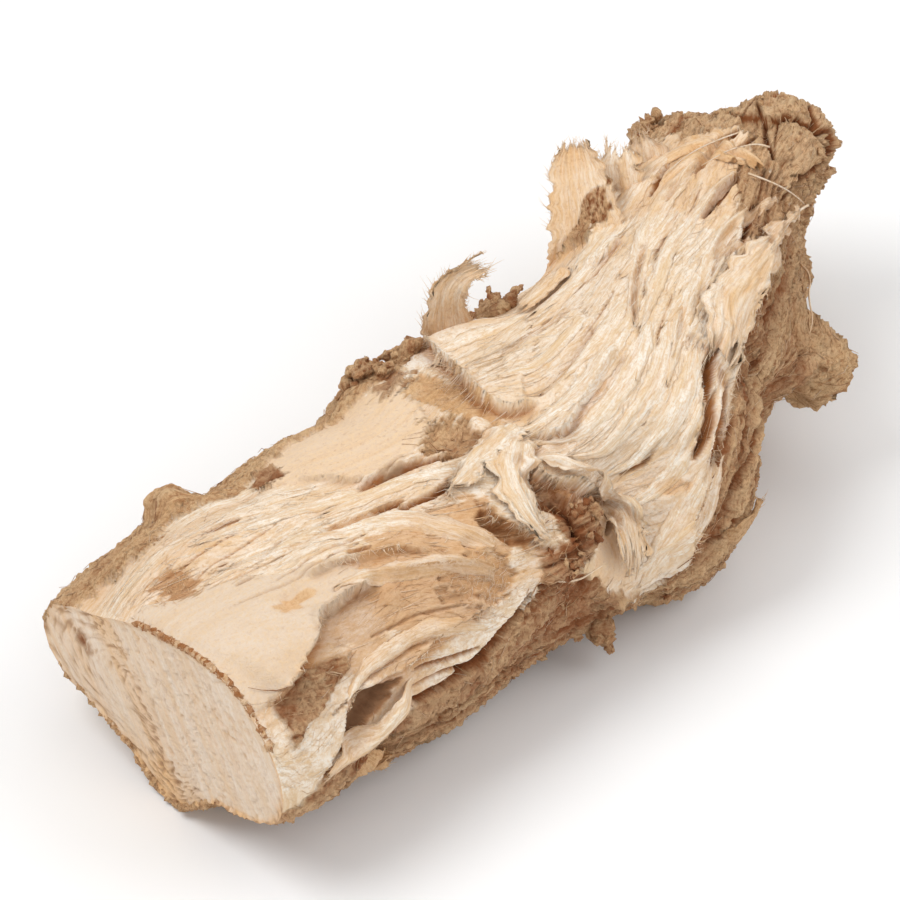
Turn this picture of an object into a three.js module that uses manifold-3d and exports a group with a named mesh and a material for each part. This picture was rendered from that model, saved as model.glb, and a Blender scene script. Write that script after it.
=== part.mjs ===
// Iris rhizome: one dried piece of peeled rootstock, lying on its underside.
//
// Millimetres, +Z up, origin on the resting surface under the middle of the piece.
// +X runs from the sawn end to the growing end, which bends to the left (+Y) and
// still wears a cap of bark. Everything is one grown body: the trunk is a swept
// section whose radii change along a bent spine, and the torn flaps, the root stub
// and the bark flakes that stand off it are joined to it as one solid.

import * as THREE from "three";
import { mergeVertices } from "three/addons/utils/BufferGeometryUtils.js";
import Module from "manifold-3d";

const wasm = await Module();
wasm.setup();

// ---- driving dimensions -------------------------------------------------

const SAWN_END_X = -48; // where the flat sawn face stands
const TRUNK_LENGTH = 95; // measured along the spine
const BEND_START = 46; // the trunk is straight up to here
const BEND_LENGTH = 26; // length of the curved stretch
const BEND_ANGLE = THREE.MathUtils.degToRad(28); // how far the growing end turns left
const RINGS = 56; // sections along the trunk
const SIDES = 52; // corners of each section
const TIP_PACKING = 1.5; // above 1, the sections crowd towards the growing end
const TIP_DOME = 0.5; // how far the tip's middle stands out

// Each station of the trunk: how far along the spine, how high the spine is there,
// and the radius of the section in eight directions, from left over the top.
const STATIONS = [
  // along  height  left  up-left  top  up-right  right  low-right  bottom  low-left
  [0, 10.5, 16.8, 11.6, 11.4, 16.0, 15.6, 8.6, 10.0, 10.0],
  [3, 10.5, 16.9, 12.8, 12.0, 16.0, 15.8, 9.8, 10.7, 11.4],
  [8, 10.5, 17.0, 14.6, 12.6, 16.0, 15.6, 12.2, 10.9, 13.2],
  [20, 10.5, 16.6, 15.4, 13.4, 16.0, 15.8, 13.8, 10.9, 14.6],
  [32, 10.5, 16.2, 15.0, 13.6, 15.8, 15.4, 13.2, 10.8, 14.8],
  [43, 10.8, 16.0, 14.8, 13.2, 15.0, 15.8, 14.2, 11.2, 14.8],
  [52, 11.2, 15.6, 14.6, 14.2, 17.0, 17.6, 16.2, 11.8, 14.6],
  [59, 11.8, 14.6, 14.2, 14.0, 16.0, 15.6, 15.2, 12.1, 13.4],
  [66, 12.4, 13.6, 13.6, 13.4, 13.8, 10.6, 10.6, 11.6, 11.8],
  [74, 13.2, 12.8, 12.8, 12.2, 12.0, 9.0, 9.0, 10.4, 10.4],
  [82, 14.0, 11.4, 11.0, 10.2, 9.8, 7.6, 7.4, 8.8, 9.2],
  [88, 14.6, 10.0, 9.6, 9.0, 9.6, 9.2, 8.0, 8.0, 8.4],
  [92, 14.9, 7.6, 7.4, 7.4, 8.0, 8.0, 6.8, 6.6, 6.8],
  [94.2, 15.0, 5.0, 4.8, 4.8, 5.2, 5.4, 4.6, 4.6, 4.8],
  [95, 15.0, 2.4, 2.2, 2.2, 2.2, 2.2, 2.0, 2.0, 2.2],
];

// ---- the trunk ----------------------------------------------------------

// A point on the spine, with the heading of the spine there.
function spineAt(along) {
  const radius = BEND_LENGTH / BEND_ANGLE;
  const turned = Math.min(Math.max(along - BEND_START, 0), BEND_LENGTH) / radius;
  const straight = Math.min(along, BEND_START);
  const beyond = Math.max(along - BEND_START - BEND_LENGTH, 0);
  return {
    x: SAWN_END_X + straight + radius * Math.sin(turned) + beyond * Math.cos(turned),
    y: radius * (1 - Math.cos(turned)) + beyond * Math.sin(turned),
    heading: turned,
  };
}

// A smooth curve through values given at uneven places.
function through(places, values, at) {
  let i = 1;
  while (i < places.length - 1 && at > places[i]) i++;
  const [p0, p1] = [places[i - 1], places[i]];
  const before = i > 1 ? i - 2 : i - 1;
  const after = i < places.length - 1 ? i + 1 : i;
  const slope0 = (values[i] - values[before]) / (p1 - places[before]);
  const slope1 = (values[after] - values[i - 1]) / (places[after] - p0);
  const span = p1 - p0;
  const t = THREE.MathUtils.clamp((at - p0) / span, 0, 1);
  const [t2, t3] = [t * t, t * t * t];
  return (
    (2 * t3 - 3 * t2 + 1) * values[i - 1] +
    (t3 - 2 * t2 + t) * span * slope0 +
    (3 * t2 - 2 * t3) * values[i] +
    (t3 - t2) * span * slope1
  );
}

// The eight radii of a section, joined by a smooth closed curve.
function roundTheSection(radii, angle) {
  const turn = (angle / (2 * Math.PI)) * radii.length;
  const k = Math.floor(turn);
  const t = turn - k;
  const [a, b, c, d] = [-1, 0, 1, 2].map((n) => radii[(k + n + radii.length) % radii.length]);
  return 0.5 * (2 * b + (c - a) * t + (2 * a - 5 * b + 4 * c - d) * t * t + (3 * b - a - 3 * c + d) * t ** 3);
}

// A rounded swelling or hollow on the trunk: where its middle is, how far it
// reaches along and around, and how much it stands out (or in, when negative).
const SWELLINGS = [
  { name: "side bud", along: 70.5, angle: 187, reach: 5.0, spread: 26, rise: 7.0 },
  { name: "undercut below the sawn corner", along: 0, angle: 204, reach: 9, spread: 18, rise: -1.0 },
  { name: "ridge knuckle on the left", along: 14, angle: 34, reach: 3.2, spread: 12, rise: 1.8 },
  { name: "crease on the left shoulder", along: 43, angle: 75, reach: 5, spread: 34, rise: -1.2 },
  { name: "crease pit on the right", along: 45, angle: 152, reach: 5.5, spread: 22, rise: -3.0 },
  { name: "split along the flank", along: 20, angle: 190, reach: 12, spread: 9, rise: -2.2 },
  { name: "shoulder of the crown", along: 86, angle: 120, reach: 4, spread: 40, rise: 1.4 },
];

function swellingAt(along, angle) {
  let sum = 0;
  for (const s of SWELLINGS) {
    const round = ((THREE.MathUtils.radToDeg(angle) - s.angle + 540) % 360) - 180;
    const off = ((along - s.along) / s.reach) ** 2 + (round / s.spread) ** 2;
    sum += s.rise * Math.exp(-(off ** 1.5));
  }
  return sum;
}

// A point on the trunk's surface.
function onTrunk(along, angle, lift = 0) {
  const column = (c) => through(STATIONS.map((r) => r[0]), STATIONS.map((r) => r[c]), along);
  const radii = [2, 3, 4, 5, 6, 7, 8, 9].map(column);
  const radius = roundTheSection(radii, angle) + swellingAt(along, angle) + lift;
  const spine = spineAt(along);
  const left = radius * Math.cos(angle);
  return new THREE.Vector3(
    spine.x - left * Math.sin(spine.heading),
    spine.y + left * Math.cos(spine.heading),
    column(1) + radius * Math.sin(angle),
  );
}

// Where section i stands along the spine.
function ringPlace(i) {
  return TRUNK_LENGTH * (1 - (1 - i / (RINGS - 1)) ** TIP_PACKING);
}

function trunkGeometry() {
  const places = [];
  const faces = [];
  for (let i = 0; i < RINGS; i++) {
    for (let j = 0; j < SIDES; j++) {
      places.push(...onTrunk(ringPlace(i), (2 * Math.PI * j) / SIDES));
    }
  }
  for (let i = 0; i < RINGS - 1; i++) {
    for (let j = 0; j < SIDES; j++) {
      const next = (j + 1) % SIDES;
      const [a, b, c, d] = [i * SIDES + j, i * SIDES + next, (i + 1) * SIDES + next, (i + 1) * SIDES + j];
      faces.push(a, b, c, a, c, d);
    }
  }
  // The sawn face and the blunt growing end are fans round the spine.
  [0, RINGS - 1].forEach((i) => {
    const spine = spineAt(ringPlace(i));
    const middle = places.length / 3;
    const dome = i ? TIP_DOME : 0;
    const height = STATIONS[i ? STATIONS.length - 1 : 0][1];
    places.push(spine.x + dome * Math.cos(spine.heading), spine.y + dome * Math.sin(spine.heading), height);
    for (let j = 0; j < SIDES; j++) {
      const [a, b] = [i * SIDES + j, i * SIDES + ((j + 1) % SIDES)];
      faces.push(...(i ? [middle, a, b] : [middle, b, a]));
    }
  });
  const made = new THREE.BufferGeometry();
  made.setAttribute("position", new THREE.Float32BufferAttribute(places, 3));
  made.setIndex(faces);
  return made;
}

// ---- what stands off the trunk ------------------------------------------

// A torn flap or flake: a thick rounded tongue, rooted in the trunk and leaning.
// `lean` turns it along the spine and `tilt` tips it round the section, in degrees.
const TONGUES = [
  { name: "curled flap", along: 44.5, angle: 38, tall: 9.0, wide: 5.4, thick: 2.6, lean: 34, tilt: 10 },
  { name: "spiky tuft", along: 49.5, angle: 36, tall: 5.2, wide: 4.8, thick: 3.4, lean: 44, tilt: 0 },
  { name: "tall lobe", along: 65, angle: 48, tall: 10.6, wide: 6.6, thick: 3.4, lean: 38, tilt: -4 },
  { name: "bark crumb", along: 37.5, angle: 34, tall: 2.8, wide: 6.0, thick: 2.8, lean: 20, tilt: 0 },
  { name: "flank flake", along: 58, angle: 200, tall: 1.8, wide: 4.6, thick: 1.8, lean: 24, tilt: -20 },
  { name: "root spike", along: 43.5, angle: 226, tall: 3.6, wide: 3.0, thick: 2.2, lean: -12, tilt: -36 },
  { name: "low flake", along: 17, angle: 224, tall: 1.8, wide: 5.6, thick: 1.6, lean: 10, tilt: -36 },
];

const ROOT_DEPTH = 2.5; // how deep a tongue is sunk in the trunk
const CURL = 0.12; // how far a tongue's tip curls forward, as a part of its height
const TONGUE_RINGS = 10;
const TONGUE_SIDES = 14;

function tongueGeometry({ along, angle, tall, wide, thick, lean, tilt }) {
  const places = [];
  const faces = [];
  // Stacked ovals that narrow towards a rounded tip and curl forward as they rise.
  for (let i = 0; i < TONGUE_RINGS; i++) {
    const up = i / (TONGUE_RINGS - 1);
    const slim = Math.sqrt(1 - 0.97 * up ** 3);
    for (let j = 0; j < TONGUE_SIDES; j++) {
      const turn = (2 * Math.PI * j) / TONGUE_SIDES;
      places.push(
        0.5 * wide * slim * Math.cos(turn) + CURL * tall * up * up,
        up * (tall + ROOT_DEPTH) - ROOT_DEPTH,
        0.5 * thick * slim * Math.sin(turn),
      );
    }
  }
  for (let i = 0; i < TONGUE_RINGS - 1; i++) {
    for (let j = 0; j < TONGUE_SIDES; j++) {
      const next = (j + 1) % TONGUE_SIDES;
      const [a, b] = [i * TONGUE_SIDES + j, i * TONGUE_SIDES + next];
      faces.push(a, a + TONGUE_SIDES, b, b, a + TONGUE_SIDES, b + TONGUE_SIDES);
    }
  }
  const last = (TONGUE_RINGS - 1) * TONGUE_SIDES;
  for (let j = 1; j < TONGUE_SIDES - 1; j++) {
    faces.push(0, j, j + 1);
    faces.push(last, last + j + 1, last + j);
  }
  const made = new THREE.BufferGeometry();
  made.setAttribute("position", new THREE.Float32BufferAttribute(places, 3));
  made.setIndex(faces);
  const round = THREE.MathUtils.degToRad(angle);
  const foot = onTrunk(along, round);
  const heading = spineAt(along).heading;
  const forward = new THREE.Vector3(Math.cos(heading), Math.sin(heading), 0);
  const side = new THREE.Vector3(-Math.sin(heading), Math.cos(heading), 0);
  const out = side.multiplyScalar(Math.cos(round)).add(new THREE.Vector3(0, 0, Math.sin(round)));
  out.applyAxisAngle(forward, THREE.MathUtils.degToRad(tilt));
  const across = new THREE.Vector3().crossVectors(forward, out);
  const spin = new THREE.Matrix4().makeRotationAxis(across, -THREE.MathUtils.degToRad(lean));
  const stand = new THREE.Matrix4().makeBasis(forward, out, across);
  made.applyMatrix4(spin.multiply(stand)).translate(foot.x, foot.y, foot.z);
  return made;
}

// ---- one solid ----------------------------------------------------------

function solidFrom(geometry) {
  const plain = geometry.index ? geometry.toNonIndexed() : geometry.clone();
  plain.deleteAttribute("normal");
  plain.deleteAttribute("uv");
  const merged = mergeVertices(plain, 1e-4);
  const mesh = new wasm.Mesh({
    numProp: 3,
    vertProperties: merged.attributes.position.array,
    triVerts: new Uint32Array(merged.index.array),
  });
  return new wasm.Manifold(mesh);
}

function geometryFrom(solid) {
  const mesh = solid.getMesh();
  const made = new THREE.BufferGeometry();
  made.setAttribute("position", new THREE.Float32BufferAttribute(mesh.vertProperties, 3));
  made.setIndex(new THREE.BufferAttribute(mesh.triVerts, 1));
  made.computeVertexNormals();
  return made;
}

const peeledRoot = new THREE.MeshStandardMaterial({ color: 0xe3cfae, roughness: 0.85, metalness: 0 });

let body = solidFrom(trunkGeometry());
for (const tongue of TONGUES) body = body.add(solidFrom(tongueGeometry(tongue)));

// The underside is worn flat where the piece lies on its resting surface.
const below = new THREE.BoxGeometry(200, 200, 20).translate(0, 0, -10);
body = body.subtract(solidFrom(below));

const rhizome = new THREE.Mesh(geometryFrom(body), peeledRoot);
rhizome.name = "rhizome";

// The origin is under the middle of the piece.
rhizome.geometry.computeBoundingBox();
const middle = rhizome.geometry.boundingBox.getCenter(new THREE.Vector3());
rhizome.position.set(-middle.x, -middle.y, 0);

const part = new THREE.Group();
part.add(rhizome);

export default part;
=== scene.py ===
import itertools
import math

import bmesh
import bpy
import numpy as np
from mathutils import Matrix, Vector


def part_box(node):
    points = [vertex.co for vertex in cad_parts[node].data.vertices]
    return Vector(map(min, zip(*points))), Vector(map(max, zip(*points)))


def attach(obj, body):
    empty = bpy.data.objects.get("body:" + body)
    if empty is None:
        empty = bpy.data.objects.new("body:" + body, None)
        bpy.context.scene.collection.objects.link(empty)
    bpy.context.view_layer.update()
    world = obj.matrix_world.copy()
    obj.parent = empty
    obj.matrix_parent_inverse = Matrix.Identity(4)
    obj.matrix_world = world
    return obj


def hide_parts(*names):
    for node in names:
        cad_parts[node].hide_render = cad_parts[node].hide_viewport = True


bl_info = {
    "name": "Iris rhizome",
    "version": (1, 0, 0),
    "blender": (4, 5, 0),
    "location": "3D View > Sidebar > Iris rhizome",
    "description": "A dried, peeled piece of iris rootstock with torn fibres and bark remnants",
    "category": "Add Mesh",
}

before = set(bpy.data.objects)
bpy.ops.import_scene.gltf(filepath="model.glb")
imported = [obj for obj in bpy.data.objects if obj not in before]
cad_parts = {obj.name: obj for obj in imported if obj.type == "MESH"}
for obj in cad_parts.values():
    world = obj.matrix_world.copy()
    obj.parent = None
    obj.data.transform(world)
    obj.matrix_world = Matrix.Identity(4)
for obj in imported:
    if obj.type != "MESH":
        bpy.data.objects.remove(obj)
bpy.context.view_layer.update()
CAD_LOW, CAD_HIGH = (np.array(corner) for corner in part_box("rhizome"))

# The lay of the trunk. Lengths in this part are millimetres of a trunk whose
# box is BOX_LENGTH long; MM turns them into the frame's metres.
# "along" runs on the spine from the sawn face, "angle" goes round the section
# in degrees from the left (0) over the top (90) to the right (180).

BOX_LENGTH = 93.09
MM = (CAD_HIGH[0] - CAD_LOW[0]) / BOX_LENGTH
SPINE_SIDE = -2.715
BEND_START = 46.0
BEND_LENGTH = 26.0
BEND_ANGLE = math.radians(28.0)
TIP = 95.0
DEGREE = 0.25  # length of one degree on the trunk's surface, about

# Stations: along, height, then the radius in eight directions from left over the top.
STATIONS = np.array([
    (0, 10.5, 16.8, 11.6, 11.4, 16.0, 15.6, 8.6, 10.0, 10.0),
    (3, 10.5, 16.9, 12.8, 12.0, 16.0, 15.8, 9.8, 10.7, 11.4),
    (8, 10.5, 17.0, 14.6, 12.6, 16.0, 15.6, 12.2, 10.9, 13.2),
    (20, 10.5, 16.6, 15.4, 13.4, 16.0, 15.8, 13.8, 10.9, 14.6),
    (32, 10.5, 16.2, 15.0, 13.6, 15.8, 15.4, 13.2, 10.8, 14.8),
    (43, 10.8, 16.0, 14.8, 13.2, 15.0, 15.8, 14.2, 11.2, 14.8),
    (52, 11.2, 15.6, 14.6, 14.2, 17.0, 17.6, 16.2, 11.8, 14.6),
    (59, 11.8, 14.6, 14.2, 14.0, 16.0, 15.6, 15.2, 12.1, 13.4),
    (66, 12.4, 13.6, 13.6, 13.4, 13.8, 10.6, 10.6, 11.6, 11.8),
    (74, 13.2, 12.8, 12.8, 12.2, 12.0, 9.0, 9.0, 10.4, 10.4),
    (82, 14.0, 11.4, 11.0, 10.2, 9.8, 7.6, 7.4, 8.8, 9.2),
    (88, 14.6, 10.0, 9.6, 9.0, 9.6, 9.2, 8.0, 8.0, 8.4),
    (92, 14.9, 7.6, 7.4, 7.4, 8.0, 8.0, 6.8, 6.6, 6.8),
    (94.2, 15.0, 5.0, 4.8, 4.8, 5.2, 5.4, 4.6, 4.6, 4.8),
    (95, 15.0, 2.4, 2.2, 2.2, 2.2, 2.2, 2.0, 2.0, 2.2),
])

# Rounded swellings and hollows: along, angle, reach, spread in degrees, height.
SWELLINGS = {
    "side bud": (69.4, 189, 4.2, 22, 5.6),
    "neck above the bud": (78, 196, 7.0, 30, 1.6),
    "undercut below the sawn corner": (0, 204, 9, 18, -1.0),
    "ridge knuckle": (12.6, 33, 1.7, 9, 2.3),
    "left shoulder crease": (43, 75, 5, 34, -1.2),
    "crease pit": (45, 152, 5.5, 22, -3.0),
    "split along the flank": (20, 190, 12, 9, -2.2),
    "shoulder that carries the tall lobe": (66, 48, 7, 14, 1.0),
    "shoulder that carries the curled flap": (46.5, 44, 3.2, 12, 0.9),
    "crown shoulder": (87, 130, 4.5, 46, 1.4),
    "knob in the crease": (38.5, 145, 2.6, 10, 2.0),
    "knob below it": (34.6, 153, 2.6, 9, 1.6),
    "curl in the long sheet": (17.8, 129, 1.1, 5, 0.5),
    "fuzzy hollow": (5.6, 71, 2.6, 12, -0.9),
    "pit in the apron": (10, 116, 1.6, 6, -1.0),
    "knot on the crown's left": (85.5, 30, 1.6, 9, 1.4),
    "furrow round the bud": (59.6, 143, 1.8, 18, -1.3),
    "cheek of the bud": (66.8, 175, 4.2, 20, 3.0),
    "brow of the bud": (65.8, 161, 3.2, 10, 1.6),
    "hollow above the flank flake": (60.0, 184, 2.8, 26, -2.0),
    "foot of the bud": (64.6, 190, 2.0, 12, 0.6),
    "notch in the sawn end": (0, 334, 5, 5, -0.6),
    "block on the crown": (87.5, 124, 4.2, 22, 1.5),
}

# Long low swells and hollows down the two sides: angle, spread, then along and height.
SIDES = [
    (204, 30, [(0, -0.7), (6, -0.4), (8, 0), (12, -1.2), (14, -1.5), (16, -1.0), (20, -1.2), (22, -0.6),
     (28, -0.6), (34, -0.9), (40, -0.9), (46, -1.1), (49, 0), (52, 0), (55, -0.5), (58, -1.3), (60, -2.3),
     (62, -1.2), (66, -0.9), (68, -0.3), (70, 0.6), (72, 0.4), (74, -0.6), (76, -0.8), (78, 0.6), (82, 1.0),
     (84, -0.3), (87, -0.8), (90, 0.2), (93, 0.6), (95, 0.7)]),
    (318, 24, [(0, -0.9), (12, -0.5), (20, 0), (95, 0)]),
    (30, 26, [(0, -0.6), (4, -0.4), (10, -0.3), (14, -0.2), (16, -1.3), (18, -1.0), (24, -0.4), (28, -0.8),
     (30, -1.2), (32, -0.3), (34, 0.6), (40, 0.9), (44, 0.9), (47, 0), (57, -0.3), (59, -0.8), (63, -0.8),
     (66, -0.3), (70, 0.2), (84, 0.3), (88, 0.8), (90, -0.3), (95, -0.3)]),
]

# How the fibres lie: lines of along and angle that they follow.
FIBRE_LINES = [
    [(86, 61), (76, 58), (64, 62), (53.5, 61), (45, 50), (42.5, 38)],
    [(83, 77), (71, 76), (62.5, 74), (52, 79), (45, 68)],
    [(81, 88), (68.5, 89), (61, 88), (53.5, 92), (48.5, 98), (44, 100), (41, 95)],
    [(77, 99), (66, 97), (61, 92), (54.5, 103), (50, 107), (46, 112), (42.5, 118), (40, 115)],
    [(71.5, 112), (63.5, 107), (58, 111), (53, 118), (48, 127), (43, 126), (40, 124)],
    [(69, 121), (61, 120), (57, 124), (51.5, 135), (48.5, 140), (42, 138)],
    [(61, 133), (55, 134), (52, 144), (49.5, 158), (46.5, 172), (43.5, 181), (38.5, 178)],
    [(66, 136), (57, 141), (52, 155), (50, 171), (48, 187), (44, 192)],
    [(31.5, 127), (27, 117), (24, 109), (17, 99), (9.5, 90), (4, 80)],
    [(34, 104), (29.5, 96), (23, 91), (16.5, 89), (10.5, 84), (2.5, 68)],
    [(23, 87), (17, 75), (10.5, 60), (3, 51)],
    [(31, 144), (25.5, 133), (20.5, 123), (14.5, 120), (8.5, 115), (2, 110)],
    [(27.5, 152), (21, 146), (14, 143), (8, 145), (2.5, 152)],
    [(28, 168), (21.5, 166), (14.5, 162), (8, 168), (3.5, 177)],
    [(39.5, 196), (32.5, 194), (24.5, 198), (19, 198)],
    [(36, 166), (29, 170), (20, 173), (10, 177), (2, 186)],
    [(42, 28), (28, 54), (17.5, 45), (10.5, 31), (0, 19)],
]

# Slits between the fibres: width, depth and the line each follows; the deeper a slit, the darker it is
# painted, a painted shade.
SLITS = [
    (1.1, 1.5, [(64.5, 81), (60, 88), (57, 95), (54.5, 103)]),
    (1.0, 1.2, [(59.3, 110), (57.5, 114), (55.6, 118)]),
    (1.7, 1.3, [(71.4, 111), (68.5, 109), (65.6, 110)]),
    (1.9, 1.6, [(77.6, 103.5), (74.5, 100), (70, 97)]),
    (1.7, 1.5, [(75.4, 116), (72, 114.5), (69, 116)]),
    (1.0, 1.2, [(75, 79), (71, 79)]),
    (1.3, 1.2, [(77.5, 69), (74.5, 69), (71.6, 71)]),
    (2.0, 1.9, [(84, 94), (81.5, 87), (76, 84)]),
    (1.2, 1.4, [(84, 103), (81.5, 98), (79, 93)]),
    (0.8, 1.0, [(77.4, 82), (73.6, 82)]),
    (1.8, 1.6, [(80.6, 57), (77, 55)]),
    (1.9, 2.0, [(57.4, 127), (55.8, 130), (53.5, 138), (52, 144), (50.4, 150)]),
    (1.2, 1.5, [(56, 139), (54, 144), (52, 151), (50.6, 160)]),
    (0.6, 0.9, [(52, 139), (49.6, 148)]),
    (0.9, 0.9, [(49, 138), (47.5, 143), (45.6, 142)]),
    (0.5, 0.4, [(62, 86), (57.5, 98), (51.5, 102)]),
    (0.4, 0.4, [(54, 116), (51, 123), (48, 132)]),
    (0.5, 0.5, [(57, 100), (52, 110), (47, 120)]),
    (0.5, 0.5, [(60, 104), (55, 111), (50, 124), (46, 131)]),
    (0.5, 0.4, [(66, 70), (59, 72), (53, 70)]),
    (0.5, 0.4, [(72, 66), (66, 66), (60, 64)]),
    (0.5, 0.5, [(74, 90), (68, 92), (63, 96)]),
    (0.6, 0.5, [(70, 86), (64, 88), (60, 95)]),
    (0.4, 0.4, [(58, 84), (54, 88), (50, 91)]),
    (0.4, 0.3, [(56, 70), (50, 72), (46, 66)]),
    (1.5, 1.5, [(17.4, 97), (20, 99.5), (23, 102), (25.6, 105)]),
    (1.2, 1.4, [(23.4, 89), (28, 91.5), (31, 95), (33.6, 98)]),
    (1.7, 1.5, [(24.4, 107), (28, 109), (31.4, 109)]),
    (0.8, 0.9, [(23.6, 87), (26, 89), (29, 88)]),
    (0.7, 0.7, [(14, 95), (16.5, 97), (18.4, 98)]),
    (0.9, 0.7, [(17, 112), (19.4, 114)]),
    (0.7, 0.7, [(11, 91), (13.5, 89), (15.6, 88)]),
    (1.2, 0.6, [(10.6, 60), (12, 64), (14, 67)]),
    (1.4, 0.7, [(8.8, 79), (10, 87)]),
    (1.0, 0.6, [(8, 94), (9.8, 96)]),
    (0.5, 0.4, [(5, 72), (10, 78), (16, 80)]),
    (0.5, 0.4, [(6, 86), (12, 94), (18, 101), (25, 112)]),
    (0.5, 0.4, [(4, 60), (9, 68), (15, 74), (21, 84)]),
    (0.5, 0.5, [(10, 104), (16, 106), (22, 109)]),
    (0.5, 0.4, [(6, 102), (12, 109), (19, 110)]),
    (1.6, 2.6, [(31, 156), (28.5, 160), (26, 163), (23, 166), (19, 167.5), (16, 166.5), (12.5, 169)]),
    (0.8, 0.9, [(24, 162), (20.5, 159), (17, 156)]),
    (0.7, 0.8, [(23, 165), (19, 162), (16, 161)]),
    (0.6, 0.6, [(22, 150), (17, 148), (12, 148), (7, 152)]),
    (0.6, 0.5, [(24, 146), (19, 140), (14, 138)]),
    (1.0, 1.6, [(37.4, 132), (36.8, 142), (36.6, 153)]),
    (1.0, 1.5, [(43, 153), (43.4, 158), (42, 161)]),
    (1.2, 2.0, [(31.6, 155), (33, 156), (34, 158)]),
    (1.4, 1.6, [(67.2, 185), (69.5, 200), (70, 214)]),
    (1.0, 1.3, [(86.5, 145), (82.5, 136), (78, 128)]),
    (0.9, 1.2, [(88, 96), (84, 106), (82, 118)]),
    (0.8, 1.0, [(92, 132), (87.5, 138), (84, 150)]),
    (0.9, 1.1, [(58, 166), (54, 172), (50, 182)]),
    (0.9, 1.0, [(62, 152), (56, 158), (52, 168)]),
    (0.8, 1.0, [(68, 140), (62, 144), (57, 150)]),
    (0.8, 0.9, [(47, 186), (42, 192), (36, 196)]),
    (0.7, 0.8, [(40, 184), (33, 186), (26, 188)]),
    (0.7, 0.8, [(30, 178), (24, 180), (16, 184)]),
    (0.8, 1.0, [(9, 176), (5, 184), (1.5, 190)]),
]

# Edges of torn sheets: height of the step, how far back the sheet stays raised,
# the raised side (+1 left of the line's run, -1 right of it), raggedness, the line.
# The low side of each edge gets a painted shadow.
SHEET_EDGES = [
    (0.55, 4.0, -1, 0.3, [(12, 110), (16.5, 114), (18.5, 116), (21.5, 120), (23.5, 128)]),
    (1.3, 7.0, -1, 0.25, [(2.4, 139), (6.5, 134), (9, 129), (11.5, 124), (14, 123), (17.8, 125)]),
    (0.6, 3.0, 1, 0.45, [(28, 115), (30.5, 109), (33, 106), (36.5, 103), (38.4, 103)]),
    (0.7, 3.0, -1, 0.45, [(31, 121), (30.5, 128), (32.5, 136), (33.5, 144), (35, 145)]),
    (0.5, 2.5, 1, 0.35, [(40, 115), (38, 116), (35.5, 116)]),
    (0.9, 5.0, -1, 0.3, [(44, 31), (41.5, 52), (41, 66), (40, 80), (40.5, 91), (42, 100), (44, 101)]),
    (0.55, 2.5, -1, 0.25, [(39.5, 110), (41.5, 118), (44.4, 116)]),
    (1.1, 4.0, -1, 0.4, [(36.5, 116), (37.5, 129), (40.5, 138), (44, 149), (45.5, 158), (45.5, 166)]),
    (0.45, 2.0, 1, 0.25, [(65, 71), (61, 68), (57.5, 57)]),
    (0.35, 2.0, -1, 0.2, [(54, 79), (49, 75), (44.6, 68)]),
    (0.55, 2.4, -1, 0.2, [(53.5, 92), (48, 98), (44, 100), (41, 94)]),
    (0.6, 2.6, 1, 0.15, [(52, 104), (46, 112), (42.5, 118), (40, 115)]),
    (0.9, 3.0, 1, 0.4, [(77.5, 134), (72, 126), (68.5, 125), (65.5, 129), (62.5, 132), (59.5, 134),
     (56, 141)]),
    (0.5, 2.0, 1, 0.4, [(59, 116), (61.5, 114), (65.5, 112), (70.5, 121)]),
    (0.45, 2.0, 1, 0.3, [(56, 141), (56.5, 134), (57, 125), (56.5, 117)]),
    (0.5, 3.0, 1, 0.4, [(55.5, 141), (52, 152), (49.5, 167), (48, 183), (44, 195)]),
    (0.6, 2.0, 1, 0.4, [(44, 196), (40, 184), (38, 178)]),
    (0.3, 3.0, -1, 0.45, [(20, 66), (25, 88), (29, 92), (33, 88)]),
    (0.6, 3.0, 1, 0.4, [(28, 152), (21, 150), (14, 152), (9.4, 150), (7, 160), (3, 172)]),
    (0.7, 4.0, -1, 0.12, [(16, 123), (18.2, 124), (22.8, 130), (26.8, 136), (29, 143)]),
]

# Flat faces where the bark has broken: along, angle, how deep the face cuts, how far
# it reaches along, and how it tips along and round, in degrees.
FACETS = [
    (87.0, 124, 0.7, 9.0, 4, 4),
    (88.0, 84, 0.2, 9.0, 14, -6),
    (89.0, 48, 0.9, 8.0, 10, 0),
    (88.0, 166, 1.2, 9.0, 0, 8),
    (90.0, 206, 0.9, 8.0, 10, 0),
    (88.0, 250, 0.9, 9.0, 8, 0),
    (89.0, 300, 0.9, 9.0, 6, 0),
    (93.0, 105, 0.2, 8.0, 50, 10),
    (93.0, 150, 0.5, 8.0, 56, 0),
    (93.0, 215, 0.8, 8.0, 62, 0),
    (93.0, 30, 0.8, 8.0, 60, 0),
    (93.0, 300, 0.8, 8.0, 60, 0),
    (68.5, 170, 0.6, 6.0, 0, -24),
    (69.0, 189, 1.0, 6.0, 2, 6),
    (65.6, 188, 0.3, 5.0, -42, 0),
    (72.5, 188, 0.7, 5.0, 30, 0),
    (69.0, 204, 0.8, 6.0, 0, 30),
]
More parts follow.
